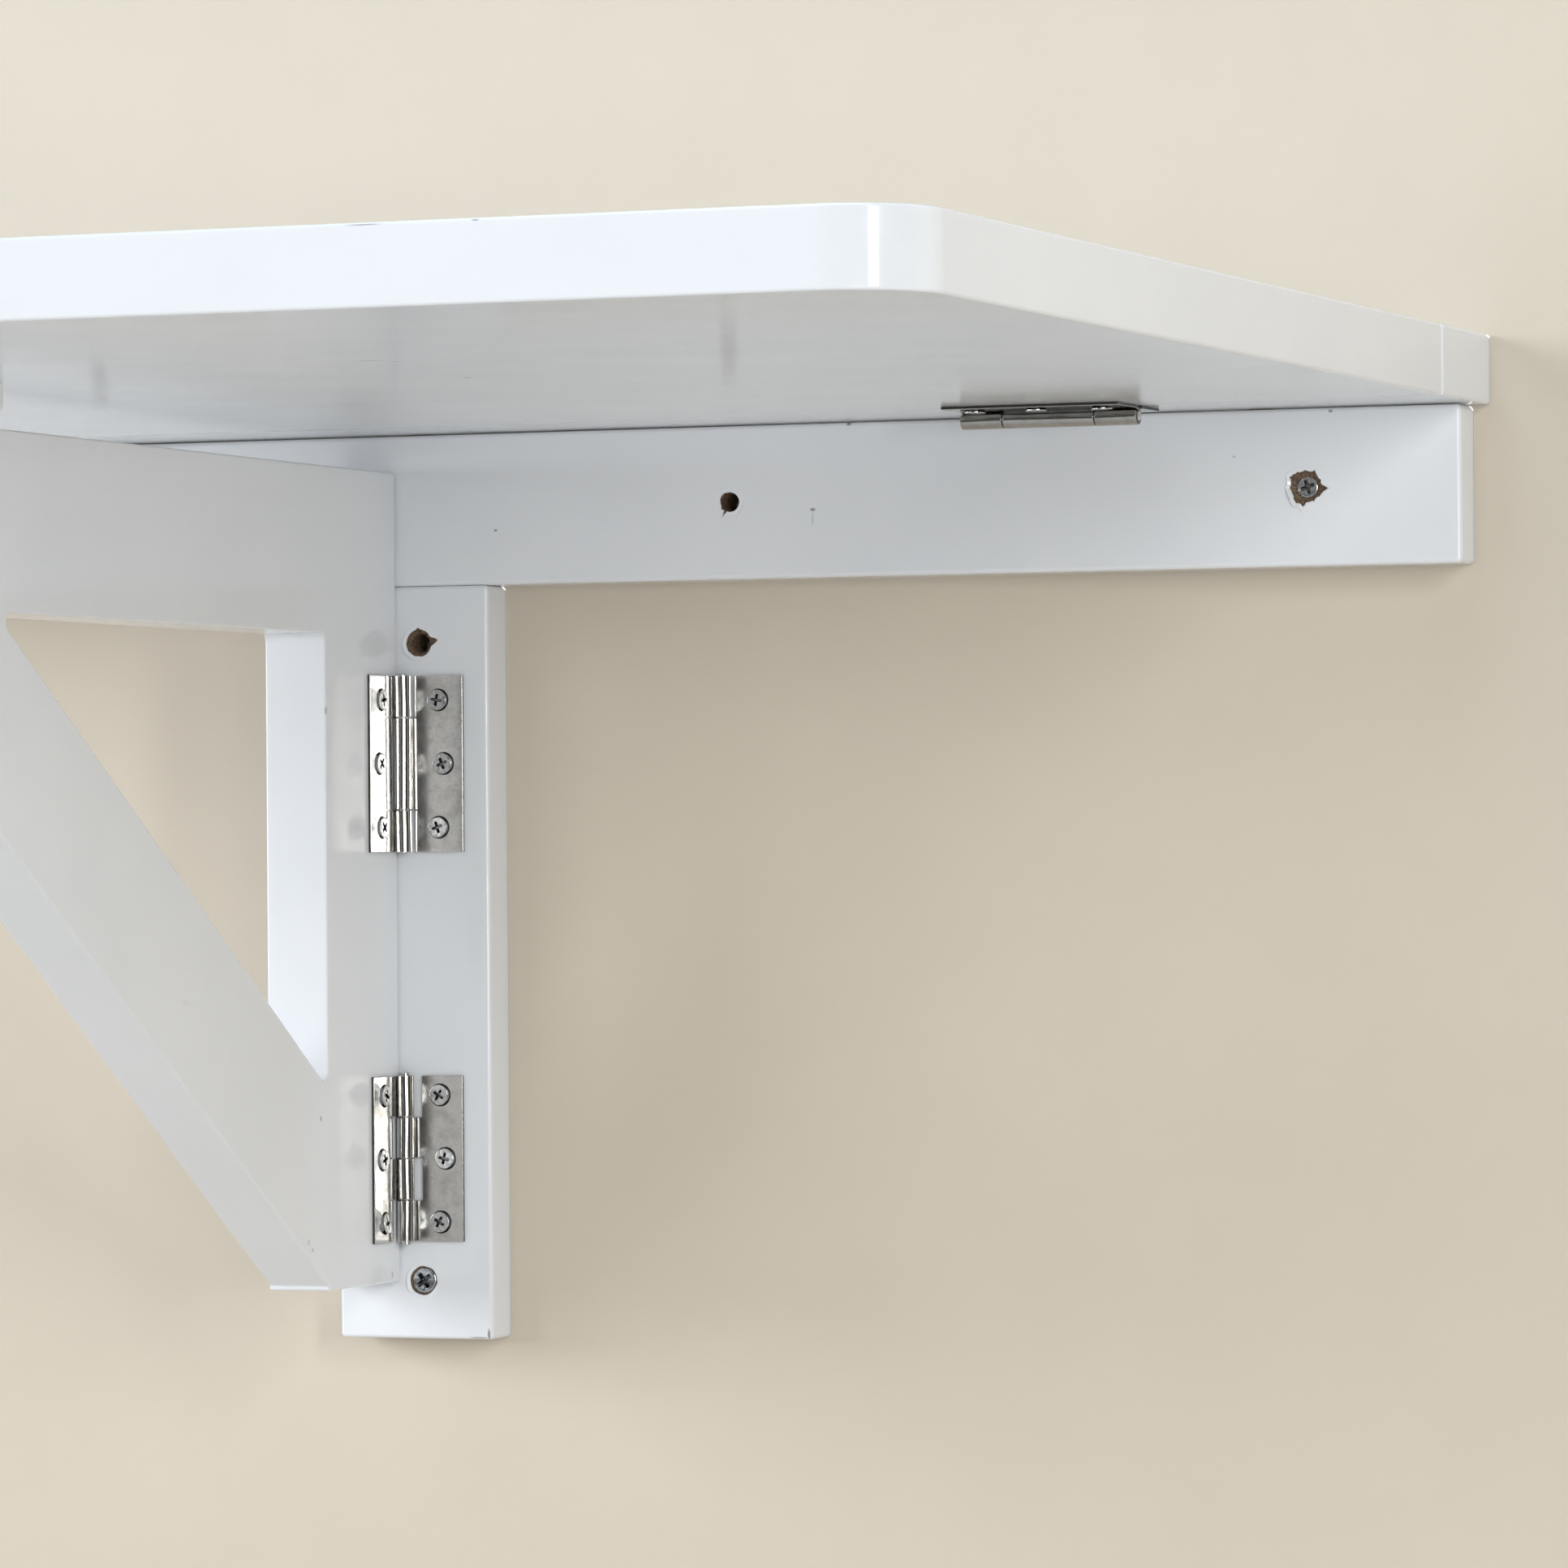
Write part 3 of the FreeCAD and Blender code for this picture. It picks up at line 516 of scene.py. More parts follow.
# ------------------------------------------------------------------ wall screws
# Two zinc plated screws with cross slots, one in the rail's right end and one in the
# post's foot. Their heads lie below the face of the board, and their shanks end just
# inside its back.
def cross_slot(reach, half):
    """The outline of a cross slot: four arms of a reach and a half width."""
    arm = [(reach, -half), (reach, half), (half, half)]
    turn = [np.array([[c, -s], [s, c]]) for c, s in ((1, 0), (0, 1), (-1, 0), (0, -1))]
    points = [side @ corner for side in turn for corner in arm]
    return outline(points, [half * 0.62, half * 0.62, half * 0.5] * 4, hole=True, steps=3)


BAND = 0.2  # the straight rim under the curve of a screw's head


def screw(head, neck, length, dome, slot, spin, lean):
    """A countersunk screw from its head down: the rim's curve is a quarter ellipse, as
    deep as the dome and 1.2 times as wide, then come the cone and the plain shank. The
    cross slot narrows to its floor. Spin turns the slot, and lean tips the screw."""
    turn = np.linspace(0, np.pi / 2, 6)
    side = dome + BAND
    profile = [(dome * 1.2 * (1 - np.sin(t)), dome * (1 - np.cos(t)), 0, 0) for t in turn]
    cone = head - neck
    # The cone and shank are marked for a little painted shade under the head.
    profile += [(0, side, 0, 0), (cone, side + cone, 0.4, 0), (cone, length, 0.4, 0)]
    # The slot's rows grow darker towards its floor: painted shade of the recess, with dirt.
    recess = [(0.10, 0, 0.1, 0), (0.03, 0.03, 0.5, 0), (0, 0.10, 0.9, 0)]
    recess += [(-slot[1] * 0.42, slot[2], 1, 0)]
    c, s = np.cos(np.radians(spin)), np.sin(np.radians(spin))
    spun = np.array([[c, s], [-s, c]])
    line, normal = cross_slot(*slot[:2])
    edges = [(*ring(np.zeros(2), head, hole=False, steps=56), np.array(profile), 0.0, True)]
    edges += [(line @ spun, normal @ spun, np.array(recess), 0.0, False)]
    points, faces, flat, bare_and_shade = cut(edges)
    over, aside = np.radians(lean)
    tip = Matrix.Rotation(over, 3, "X") @ Matrix.Rotation(aside, 3, "Y")
    return points @ np.array(tip).T, faces, flat, bare_and_shade


# Near black for the slot: dirt together with painted shade.
SLOT_DIRT_AND_SHADE, WOOD_DUST = (0.10, 0.10, 0.10, 1), (0.24, 0.185, 0.135, 1)


def zinc(name, dust, dull, bright):
    """Zinc plate that goes from dull to bright in clouds, with the slot painted darker, partly
    as dirt and partly as the shade in the recess, and a share of wood dust."""
    plate = Finish(name)
    spot = plate.place()
    bare_and_shade = plate.node("Attribute", {"attribute_name": "bare_and_shade"}, out="Fac")
    cloud = plate.noise(spot, 0.9, 3.0)
    grit = plate.noise(spot, 4.5, 2.0)
    # Painted shade with dirt: the deeper rows of the slot are darkened.
    slot_dirt_and_shade = plate.step(bare_and_shade, 0.3, 1.0) * 0.8
    dusty = plate.step(plate.noise(spot, 1.1, 3.0) + dust, 0.95, 1.10)
    colour = plate.mix(plate.step(cloud, 0.35, 0.7), (*dull, 1), (*bright, 1))
    colour = plate.mix(slot_dirt_and_shade, colour, SLOT_DIRT_AND_SHADE)
    colour = plate.mix(dusty, colour, WOOD_DUST)
    roughness = 0.13 + cloud * 0.10 + dusty * 0.4
    return plate.surface(colour, roughness, grit * 0.010 + cloud * 0.06, 1.0 - dusty)


DULL_ZINC, BRIGHT_ZINC = (0.36, 0.385, 0.41), (0.60, 0.62, 0.64)
SCREW_NECK, SCREW_DOME, SLOT_DEEP = 2.2, 0.8, 2.2
TIP_SHORT = 0.2  # how far the shank's end stays inside the board
WALL_SCREWS = [  # name, hole, head's radius, how far it is sunk, spin, lean, dust
    ("rail_wall_screw", OUTER_HOLE, 3.95, 2.1, 20, (3, -4), 0.41),
    ("post_wall_screw", LOWER_HOLE, 4.85, 0.45, 38, (0, 1), 0.30),
]
for name, (across, up), head, sunk, spin, lean, dust in WALL_SCREWS:
    slot = (0.64 * head, 0.175 * head, SLOT_DEEP)
    shell = screw(head, SCREW_NECK, BOARD - sunk - TIP_SHORT, SCREW_DOME, slot, spin, lean)
    seat_at = np.array([across, RAIL_FACE + sunk, up])
    wall_screw = make_mesh(name, [set_in(shell, seat_at, X, Z, -Y)])
    wall_screw.data.materials.append(zinc(name + "_zinc", dust, DULL_ZINC, BRIGHT_ZINC))
    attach(wall_screw, "wall_frame")

# ------------------------------------------------------------------ fixed shelf
# A narrow board that lies on the rail against the wall. It is the back strip of the
# table top, with the same gloss and the same eased edges.
TOP_CORNER, TOP_EASE = 1.3, 1.2
leaf_low, leaf_high = corners("table_leaf")
TOP_THICK = leaf_high[2] - leaf_low[2]
low, high = corners("fixed_shelf")
TOP_FACE = high[2]
shelf_line = outline(oblong(low, high, 0, 1), TOP_CORNER)
shelf_shell = cut([(*shelf_line, eased(TOP_THICK, TOP_EASE), 0.0, True)])
shelf = make_mesh("painted_shelf", [set_in(shelf_shell, TOP_FACE * Z, X, Y, Z)])
stand_for(shelf, "fixed_shelf", gloss_paint("shelf_gloss", "X", (31, 7, 13)))

# ------------------------------------------------------------------ shelf dowels
# Three turned beech dowels join the shelf to the rail. They are glued out of sight,
# and keep the frame's own solids.
DARK_BEECH, PALE_BEECH = (0.44, 0.27, 0.14, 1), (0.62, 0.43, 0.25, 1)
FLECK_BROWN = (0.28, 0.15, 0.07, 1)
beech = Finish("bare_beech")
long_grain = beech.place((1.0, 1.0, 0.07))
ring_tone = beech.noise(long_grain, 0.9, 4.0, 0.6)
fleck = beech.step(beech.noise(long_grain, 3.4, 2.0), 0.56, 0.70)
beech_colour = beech.mix(beech.step(ring_tone, 0.3, 0.7), DARK_BEECH, PALE_BEECH)
beech_colour = beech.mix(fleck * 0.5, beech_colour, FLECK_BROWN)
beech_rough = 0.62 + ring_tone * 0.15
dowel_finish = beech.surface(beech_colour, beech_rough, ring_tone * 0.05 + fleck * 0.04)
dowels = frame["nodes"]["shelf_dowels"]
dowels.data.materials.clear()
dowels.data.materials.append(dowel_finish)

# ------------------------------------------------------------------ table leaf
# The drop leaf: one wide board of the same thickness as the shelf, with its two front
# corners rounded in plan. Its underside has a few light scratches.
ROUND_CORNER = 28
leaf_radii = [ROUND_CORNER, ROUND_CORNER, TOP_CORNER, TOP_CORNER]
leaf_line = outline(oblong(leaf_low, leaf_high, 0, 1), leaf_radii, steps=20)
LEAF_MARKS = [
    ((149.3, -382.3, 27.5), (6.0, 1.6, 3), 0.60),
    ((155.5, -374.8, 27.5), (5.0, 1.4, 3), 0.42),
    ((143.9, -295.0, 27.5), (1.6, 3.4, 3), 0.50),
    ((237.4, -580.6, 50.75), (7.5, 3, 0.32), 0.55),
    ((271.5, -580.6, 50.8), (1.6, 3, 0.42), 0.6),
    ((330.0, -300.0, 27.5), (0.5, 38.0, 3), 0.10),
]
leaf_shell = cut([(*leaf_line, eased(TOP_THICK, TOP_EASE, 5), 0.0, True)])
leaf = make_mesh("painted_leaf", [set_in(leaf_shell, TOP_FACE * Z, X, Y, Z)])
stand_for(leaf, "table_leaf", gloss_paint("leaf_gloss", "X", (3, 41, 23), LEAF_MARKS))

# ------------------------------------------------------------------ rest block
# A short block glued under the leaf, where the swung-out arm comes to rest. The edge
# that the arm meets first is planed to a slope.
LEAD_IN = 5.0
LEAD_SLOPE = (0.7071, 0, -0.7071)
BLOCK_CORNER, BLOCK_EASE = 1.0, 0.9
low, high = corners("rest_block")
corner, _, *others = oblong(low, high, 0, 2)
lead = [(high[0] - LEAD_IN, low[2]), (high[0], low[2] + LEAD_IN)]
rest_line = outline([corner, *lead, *others], BLOCK_CORNER)
rest_shell = cut([(*rest_line, eased(high[1] - low[1], BLOCK_EASE), 0.0, True)])
rest = make_mesh("painted_rest_block", [set_in(rest_shell, low[1] * Y, X, Z, -Y)])
rest_gloss = gloss_paint("rest_gloss", "Y", (17, 29, 37), slope=LEAD_SLOPE)
stand_for(rest, "rest_block", rest_gloss)

# ------------------------------------------------------------------ swing bracket
# One board sawn to an arm, an upright and a slanting brace around a triangular window.
# All its edges are eased before it is painted.
BRACE_ANGLE = np.radians(32.5)
MEMBER, UPRIGHT, HEEL_STEP = 59.5, 61.5, 1.7
BRACKET_RADII = [1.0, 4.0, 4.0, 1.0, 1.0, 1.0]
WINDOW_RADIUS, BRACKET_EASE = 3.0, 0.9
low, high = corners("swing_bracket")
UPRIGHT_FRONT = high[1] - UPRIGHT
HEEL = low[2] + HEEL_STEP
BRACE_RISE = MEMBER / np.cos(BRACE_ANGLE)
ARM_BOTTOM = high[2] - MEMBER
WINDOW_TIP = UPRIGHT_FRONT - (ARM_BOTTOM - HEEL - BRACE_RISE) / np.tan(BRACE_ANGLE)
TIP_BOTTOM = HEEL + (UPRIGHT_FRONT - low[1]) * np.tan(BRACE_ANGLE)
bracket_points = [
    (high[1], high[2]), (low[1], high[2]), (low[1], TIP_BOTTOM),
    (UPRIGHT_FRONT, HEEL), (UPRIGHT_FRONT, low[2]), (high[1], low[2]),
]
window_points = [
    (UPRIGHT_FRONT, ARM_BOTTOM), (WINDOW_TIP, ARM_BOTTOM),
    (UPRIGHT_FRONT, HEEL + BRACE_RISE),
]
bracket_rows = eased(high[0] - low[0], BRACKET_EASE)
bracket_edges = [
    (*outline(bracket_points, BRACKET_RADII), bracket_rows, 0.0, True),
    (*outline(window_points, WINDOW_RADIUS, hole=True), bracket_rows, 0.0, True),
]
BRACKET_MARKS = [
    ((-5.8, -86.3, -217.7), (3, 1.1, 1.3), 0.55),
    ((-5.8, -97.2, -260.8), (3, 1.0, 1.4), 0.30),
    ((-5.8, -93.9, -263.8), (3, 1.2, 1.0), 0.35),
    ((-5.8, -25.8, -276.1), (3, 1.0, 1.6), 0.45),
    ((-5.8, -195.2, -174.5), (3, 4.5, 1.4), 0.07),
    ((-5.8, -79.4, -73.3), (3, 0.8, 2.0), 0.50),
]
bracket = make_mesh("painted_bracket", [set_in(cut(bracket_edges), high[0] * X, Y, Z, X)])
brace_slope = (0.0, float(np.sin(BRACE_ANGLE)), float(np.cos(BRACE_ANGLE)))
bracket_gloss = gloss_paint("bracket_gloss", "Y", (53, 5, 29), BRACKET_MARKS, brace_slope)
stand_for(bracket, "swing_bracket", bracket_gloss)

# ------------------------------------------------------------------ hinge plates
# Butt hinges of nickel plated sheet. Each plate is one flat blank with tabs, which are
# rolled round the pin to make its knuckles, and three countersunk screw holes.
SHEET = 1.3
SEAT = 3.8  # from the pin's middle to the board
ROLL = 2.525  # the knuckles' radius at the middle of the sheet
WRAP = ROLL * np.radians(308)
JOGGLE = 3.0  # how much of the plate bends down to its board
KNUCKLE_GAP = 0.15
PLATE_CORNER, PLATE_EASE = 0.32, 0.28
# Painted shade: the sheet's cut edge is darkened like a contact shadow between plate and
# board.
EDGE_SHADE = 0.9  # how dark the cut edge of the sheet is
MOUTH_WIDE = 4.1
# The third column is painted shade, near black, in each screw's mouth.
SCREW_MOUTH = np.array([
    (0.15, 0, 0, 0), (0.04, 0.05, 0.2, 0), (0, 0.14, 0.8, 0),
    (-1.1, SHEET - 0.1, 1.0, 0), (-1.15, SHEET, 0, 0),
])
TAB_REST = 0.6  # the last of each tab stays straight
COLUMNS = np.r_[np.linspace(-WRAP + TAB_REST, 0, 26), np.linspace(0, JOGGLE, 7)[1:]]
NEAR, AROUND = 1e-6, 0.2  # the slack in matching a point to a column, and to a tab
STAGGER = 2.0  # the middle screw stands this much farther out
# A plate's width, the ends of its knuckles, the depth of its notches, the pitch of its
# screws and their way from the pin, and the pin's radius.
SIZES = {
    "large": dict(width=22.5, ends=(-32.0, -16.7, 16.7, 32.0), notch=3.6, pitch=23.0,
                  out=12.9, pin=1.8),
    "small": dict(width=21.5, ends=(-30.0, -15.0, 0.0, 15.0, 30.0), notch=5.4, pitch=22.9,
                  out=12.6, pin=1.65),
}


def blank(size, own_first):
    """The flat blank's outline: its free edge, and from top to bottom a tab where a
    knuckle is its own and a notch where it is the other plate's."""
    ends = size["ends"]
    own = [(order % 2 == 0) == own_first for order in range(len(ends) - 1)]
    points = [(size["width"], ends[0]), (size["width"], ends[-1])]
    for order in reversed(range(len(own))):
        reach = -WRAP if own[order] else size["notch"]
        gap = KNUCKLE_GAP if own[order] else -KNUCKLE_GAP
        top = ends[order + 1] - (0 if order == len(own) - 1 else gap)
        foot = ends[order] + (0 if order == 0 else gap)
        points += [(reach, top), (reach, foot)]
    return points, own


def with_folds(line, normal):
    """The line with a point wherever it crosses a column, so that the sheet can bend
    there. The point's share of its side is where the column lies between its ends."""
    shut = np.vstack([line, line[:1]])
    both = np.hstack([shut, np.vstack([normal, normal[:1]])])
    start, end = shut[:-1, 0, None], shut[1:, 0, None]
    share = (COLUMNS - start) / np.where(end == start, np.inf, end - start)
    crossed = (share > NEAR) & (share < 1 - NEAR)
    keys = np.sort(np.r_[np.arange(len(line)), np.nonzero(crossed)[0] + share[crossed]])
    count = np.arange(len(shut))
    picked = np.stack([np.interp(keys, count, values) for values in both.T], 1)
    return picked[:, :2], picked[:, 2:]


def rolled(points):
    """Bends the blank. Past the pin's line the sheet's middle runs round a circle, by an
    angle of its length over the radius; before it, the middle rises on a smooth step
    from the barrel's foot to the plate. The depth is laid off square to the middle."""
    across, along, depth = points.T
    depth = depth - SHEET / 2
    rise = SEAT - SHEET / 2 - ROLL
    t = np.clip(across / JOGGLE, 0, 1)
    height = ROLL + rise * t * t * (3 - 2 * t)
    lean = np.arctan(rise * 6 * t * (1 - t) / JOGGLE)
    angle = np.maximum(-across, 0) / ROLL
    middle_x = np.where(across < 0, -ROLL * np.sin(angle), across)
    middle_h = np.where(across < 0, ROLL * np.cos(angle), height)
    side_x = np.where(across < 0, -np.sin(angle), -np.sin(lean))
    side_h = np.where(across < 0, np.cos(angle), np.cos(lean))
    return np.stack([middle_x + depth * side_x, along, middle_h + depth * side_h], 1)


def hinge_plate(size, own_first, pin, out, seat, up):
    """A plate's skin. Out is the way it lies from the pin, seat is the way to its board,
    and up runs along the pin."""
    points, own = blank(size, own_first)
    line, normal = with_folds(*outline(points, PLATE_CORNER, steps=3))
    rows = eased(SHEET, PLATE_EASE, 3)
    # The cut edge carries painted shade.
    rows[3:5, 2] = EDGE_SHADE

    def folds(front, back):
        """The lines across each of the plate's own tabs, one for each column."""
        found = [[], []]
        for order in np.nonzero(own)[0]:
            low_end, high_end = size["ends"][order:order + 2]
            on_tab = (line[:, 1] > low_end - AROUND) & (line[:, 1] < high_end + AROUND)
            for column in COLUMNS:
                at = np.nonzero((abs(line[:, 0] - column) < NEAR) & on_tab)[0]
                if len(at) == 2:
                    found[0].append(front[at])
                    found[1].append(back[at])
        return found

    edges = [(line, normal, rows, 0.0, True)]
    for step in (-1, 0, 1):
        spot = np.array([size["out"] + (STAGGER if step == 0 else 0), step * size["pitch"]])
        edges.append((*ring(spot, MOUTH_WIDE, steps=40), SCREW_MOUTH, 0.0, True))
    skin, faces, flat, bare_and_shade = cut(edges, folds)
    bent = np.array([skin[face, 0].min() < JOGGLE for face in faces])
    skin = rolled(skin)
    points = pin + skin[:, :1] * out + skin[:, 1:2] * up + skin[:, 2:] * seat
    if np.cross(out, up) @ -seat < 0:
        faces = [face[::-1] for face in faces]
    return points, faces, flat & ~bent, bare_and_shade


CLEAN_NICKEL, TARNISHED_NICKEL = np.array([0.61, 0.60, 0.58]), np.array([0.47, 0.455, 0.425])
GRAIN_GREY, BRUSH_GREY = (0.36, 0.35, 0.335, 1), (0.42, 0.41, 0.39, 1)
# Near black for the painted shade in the screw mouths and on the cut edges.
MOUTH_AND_EDGE_SHADE = (0.035, 0.032, 0.03, 1)


def nickel(name, brushed, shift, dish, tone):
    """Satin nickel plate: fine brush lines one way, slow tarnish clouds with a warm
    tint, and near black painted shade in the screw mouths and on the cut edges. Dish is
    how steeply the screws have drawn the sheet in, along each axis, and tone is painted
    light and shade: it makes each hinge's plating brighter or darker by how it is lit."""
    plate = Finish(name)
    spot = plate.place(shift=shift)
    lines = plate.place([0.05 if axis == brushed else 1.0 for axis in "XYZ"], shift)
    brush = plate.noise(lines, 5.0, 3.0, 0.6)
    cloud = plate.noise(spot, 0.13, 4.0, 0.6)
    dint = plate.noise(spot, 0.10, 1.0)
    bare_and_shade = plate.node("Attribute", {"attribute_name": "bare_and_shade"}, out="Fac")
    tarnish = plate.step(cloud, 0.42, 0.70)
    grain = plate.noise(spot, 1.4, 3.0, 0.7)
    # Tone scales the plating as painted light and shade.
    clean, dulled = (*(CLEAN_NICKEL * tone), 1), (*(TARNISHED_NICKEL * tone), 1)
    colour = plate.mix(tarnish, clean, dulled)
    colour = plate.mix(plate.step(grain, 0.42, 0.72) * 0.35, colour, GRAIN_GREY)
    colour = plate.mix(plate.step(brush, 0.5, 0.8) * 0.25, colour, BRUSH_GREY)
    # Painted shade in the screw mouths and on the cut edges.
    colour = plate.mix(plate.step(bare_and_shade, 0.2, 1.0) * 0.95, colour, MOUTH_AND_EDGE_SHADE)
    roughness = 0.09 + tarnish * 0.06 + brush * 0.04 + grain * 0.05 + bare_and_shade * 0.2
    drawn = plate.reach(plate.place(), dish)
    height = brush * 0.0012 + dint * 0.03 + grain * 0.003 + drawn
    return plate.surface(colour, roughness, height, 1.0)


# A hinge, its size, the board, the way out and the way to the seat of its fixed plate and
# of its moving plate, and the way up its pin.
HINGES = [
    ("upper_hinge", "large", "post", X, Y, "bracket", -Y, -X, Z),
    ("lower_hinge", "small", "post", X, Y, "bracket", -Y, -X, Z),
    ("left_hinge", "large", "shelf", Y, Z, "leaf", -Y, Z, X),
    ("right_hinge", "large", "shelf", Y, Z, "leaf", -Y, Z, X),
]
DISH = 0.07  # only the bracket's plates are drawn in
# Painted light and shade: the leaf's hinges are darker and the upper hinge brighter, as they
# are lit.
LIT_AND_SHADED_TONES = {"upper_hinge": 1.18, "lower_hinge": 0.98, "left_hinge": 0.7, "right_hinge": 0.7}
for order, (hinge, size_name, *plates, up) in enumerate(HINGES):
    size = SIZES[size_name]
    pin = sum(corners(hinge + "_pin")) / 2
    for fixed, (board, out, seat) in ((True, plates[:3]), (False, plates[3:])):
        node = f"{hinge}_{board}_plate"
        own_first = fixed == (size_name == "small")
        plate = make_mesh(f"rolled_{node}", [hinge_plate(size, own_first, pin, out, seat, up)])
        brushed = "XYZ"[int(np.argmax(np.abs(up)))]
        shift = (order * 37.0, 11.0 * fixed, order * 13.0)
        dish = (0.0, DISH, 0.0) if board == "bracket" else (0.0, 0.0, 0.0)
        finish = nickel(f"{node}_nickel", brushed, shift, dish, LIT_AND_SHADED_TONES[hinge])
        stand_for(plate, node, finish)

# ------------------------------------------------------------------ hinge pins
# Drawn steel wire, cut to length, with its ends rounded over by the cutter. The pin
# turns freely in the knuckles, and its ends stand proud of them.
def turned(profile, centre, along, steps=40):
    """A turned piece: each row (radius, height) of the profile is carried round the
    axis, and the two ends close on it."""
    radius, height = np.array(profile, float).T
    side = np.cross(along, X if abs(along @ X) < 0.5 else Y)
    angle = np.linspace(0, 2 * np.pi, steps, endpoint=False)[None, :, None]
    around = np.cos(angle) * side + np.sin(angle) * np.cross(along, side)
    points = centre + radius[:, None, None] * around + height[:, None, None] * along
    grid = np.arange(len(radius) * steps).reshape(len(radius), steps)
    after = np.roll(grid, -1, 1)
    faces = np.stack([grid[:-1], after[:-1], after[1:], grid[1:]], -1).reshape(-1, 4).tolist()
    return points.reshape(-1, 3), faces, np.zeros(len(faces), bool), np.zeros(points.size // 3)


BRIGHT_WIRE, DULL_WIRE = (0.66, 0.645, 0.62, 1), (0.54, 0.52, 0.49, 1)
END_SWELL = 0.55  # how long the rounded end of a pin is


def drawn_wire(name):
    """Bright wire with faint lines along it, duller in streaks."""
    wire = Finish(name)
    spot = wire.place()
    drawn = wire.noise(wire.place((1.0, 1.0, 0.08)), 3.0, 2.0)
    colour = wire.mix(wire.step(drawn, 0.4, 0.7), BRIGHT_WIRE, DULL_WIRE)
    height = drawn * 0.012 + wire.noise(spot, 0.8) * 0.02
    return wire.surface(colour, 0.18 + drawn * 0.16, height, 1.0)


wire = drawn_wire("drawn_wire")
for hinge, size_name, *_, up in HINGES:
    low, high = corners(hinge + "_pin")
    radius, half = SIZES[size_name]["pin"], np.abs(high - low).max() / 2
    swell = np.linspace(0, np.pi / 2, 6)
    end = [(radius * np.sin(t), half - END_SWELL * (1 - np.cos(t))) for t in swell]
    profile = [(r, -h) for r, h in end] + [(r, h) for r, h in end[::-1]]
    pin = make_mesh(f"round_ended_{hinge}_pin", [turned(profile, (low + high) / 2, up)], 50)
    stand_for(pin, hinge + "_pin", wire)

# ------------------------------------------------------------------ hinge screws
# Small countersunk screws with cross slots. Their heads don't quite fill the mouths of
# the plates, so a dark ring shows round each, deepened by the painted shade in the
# mouths, and one on the bracket is driven askew.
HEAD, NECK, PROUD = 3.75, 1.85, 0.95
SHANK, DOME = 15.5, 0.32
SLOT = (2.15, 0.52, 1.5)  # reach, half width and depth
DRAWN_IN = 0.3  # how far the heads sit towards the pin
DULL_HEAD, BRIGHT_HEAD = (0.44, 0.445, 0.445), (0.70, 0.705, 0.70)
zinc_plate = zinc("zinc_plate", 0.0, DULL_HEAD, BRIGHT_HEAD)
chance = np.random.default_rng(12)
for hinge, size_name, *plates, up in HINGES:
    size = SIZES[size_name]
    pin = sum(corners(hinge + "_pin")) / 2
    for board, out, seat in (plates[:3], plates[3:]):
        shells = []
        for step in (-1, 0, 1):
            reach = size["out"] + (STAGGER if step == 0 else 0)
            askew = hinge == "lower_hinge" and board == "bracket" and step == -1
            lean = (7.0, 5.0) if askew else tuple(chance.uniform(-2.2, 2.2, 2))
            shell = screw(HEAD, NECK, SHANK, DOME, SLOT, chance.uniform(0, 90), lean)
            seat_at = pin + (reach - DRAWN_IN) * out + step * size["pitch"] * up
            seat_at = seat_at + (SEAT - SHEET - PROUD) * seat
            shells.append(set_in(shell, seat_at, out, up, -seat))
        node = f"{hinge}_{board}_screws"
        stand_for(make_mesh(f"slotted_{node}", shells), node, zinc_plate)

# ------------------------------------------------------------------ room
# A plain warm wall that the table hangs on, and a floor below it. Both are seen from
# their front only, and a surface that lies against the wall isn't closed off by it.
CLOSE, CLEAR_OF = 0.003, 0.004  # metres: a surface nearer than this isn't closed off


def one_sided(name, tone):
    """Matt paint that is seen from its front only. It turns clear where the ray comes
    from behind it, or from a surface that all but touches it."""
    plain = Finish(name)
    grain = plain.noise(plain.place(), 0.02, 2.0)
    dimmer = tuple(0.985 * part for part in tone)
    colour = plain.mix(plain.step(grain, 0.3, 0.7), (*tone, 1), (*dimmer, 1))
    solid = plain.node("BsdfDiffuse", None, {"Color": colour})
    behind = plain.node("NewGeometry", out="Backfacing")
    touching = plain.step(plain.node("LightPath", out="Ray Length"), CLEAR_OF, CLOSE)
    clear = plain.node("BsdfTransparent")
    shown = plain.node("MixShader", None, {0: behind.most(touching), 1: solid, 2: clear})
    plain.node("OutputMaterial", None, {"Surface": shown})
    return plain.material


def flat_sheet(name, low, high, face, tone):
    """A rectangle between two corners, turned to face one way."""
    low, high = np.array(low, float), np.array(high, float)
    flat = int(np.argmin(high - low))
    a, b = [axis for axis in range(3) if axis != flat]
    points = np.array([low, low, low, low])
    points[1:3, a], points[2:4, b] = high[a], high[b]
    if np.cross(points[1] - points[0], points[2] - points[1]) @ face < 0:
        points = points[::-1]
    mesh = bpy.data.meshes.new(name)
    mesh.from_pydata(points.tolist(), [], [(0, 1, 2, 3)])
    mesh.materials.append(one_sided(name + "_tone", tone))
    sheet = bpy.data.objects.new(name, mesh)
    bpy.context.scene.collection.objects.link(sheet)


FLOOR, WALL_FACE, CEILING = -0.8, 0.0004, 2.6
WARM_WALL, PALE_FLOOR = (0.66, 0.585, 0.48), (0.62, 0.60, 0.57)
flat_sheet("room_wall", (-4, WALL_FACE, FLOOR), (4, WALL_FACE, CEILING), -Y, WARM_WALL)
flat_sheet("room_floor", (-4, -6, FLOOR), (4, WALL_FACE, FLOOR), Z, PALE_FLOOR)

# ------------------------------------------------------------------ light
# A tall narrow box lamp to the right of the front, a small one beside the camera, two
# soft ones from the left, one overhead, one behind the wall for the back of the boards,
# and a pale sky all round.
AIM = Vector((0, -0.2, -0.1))


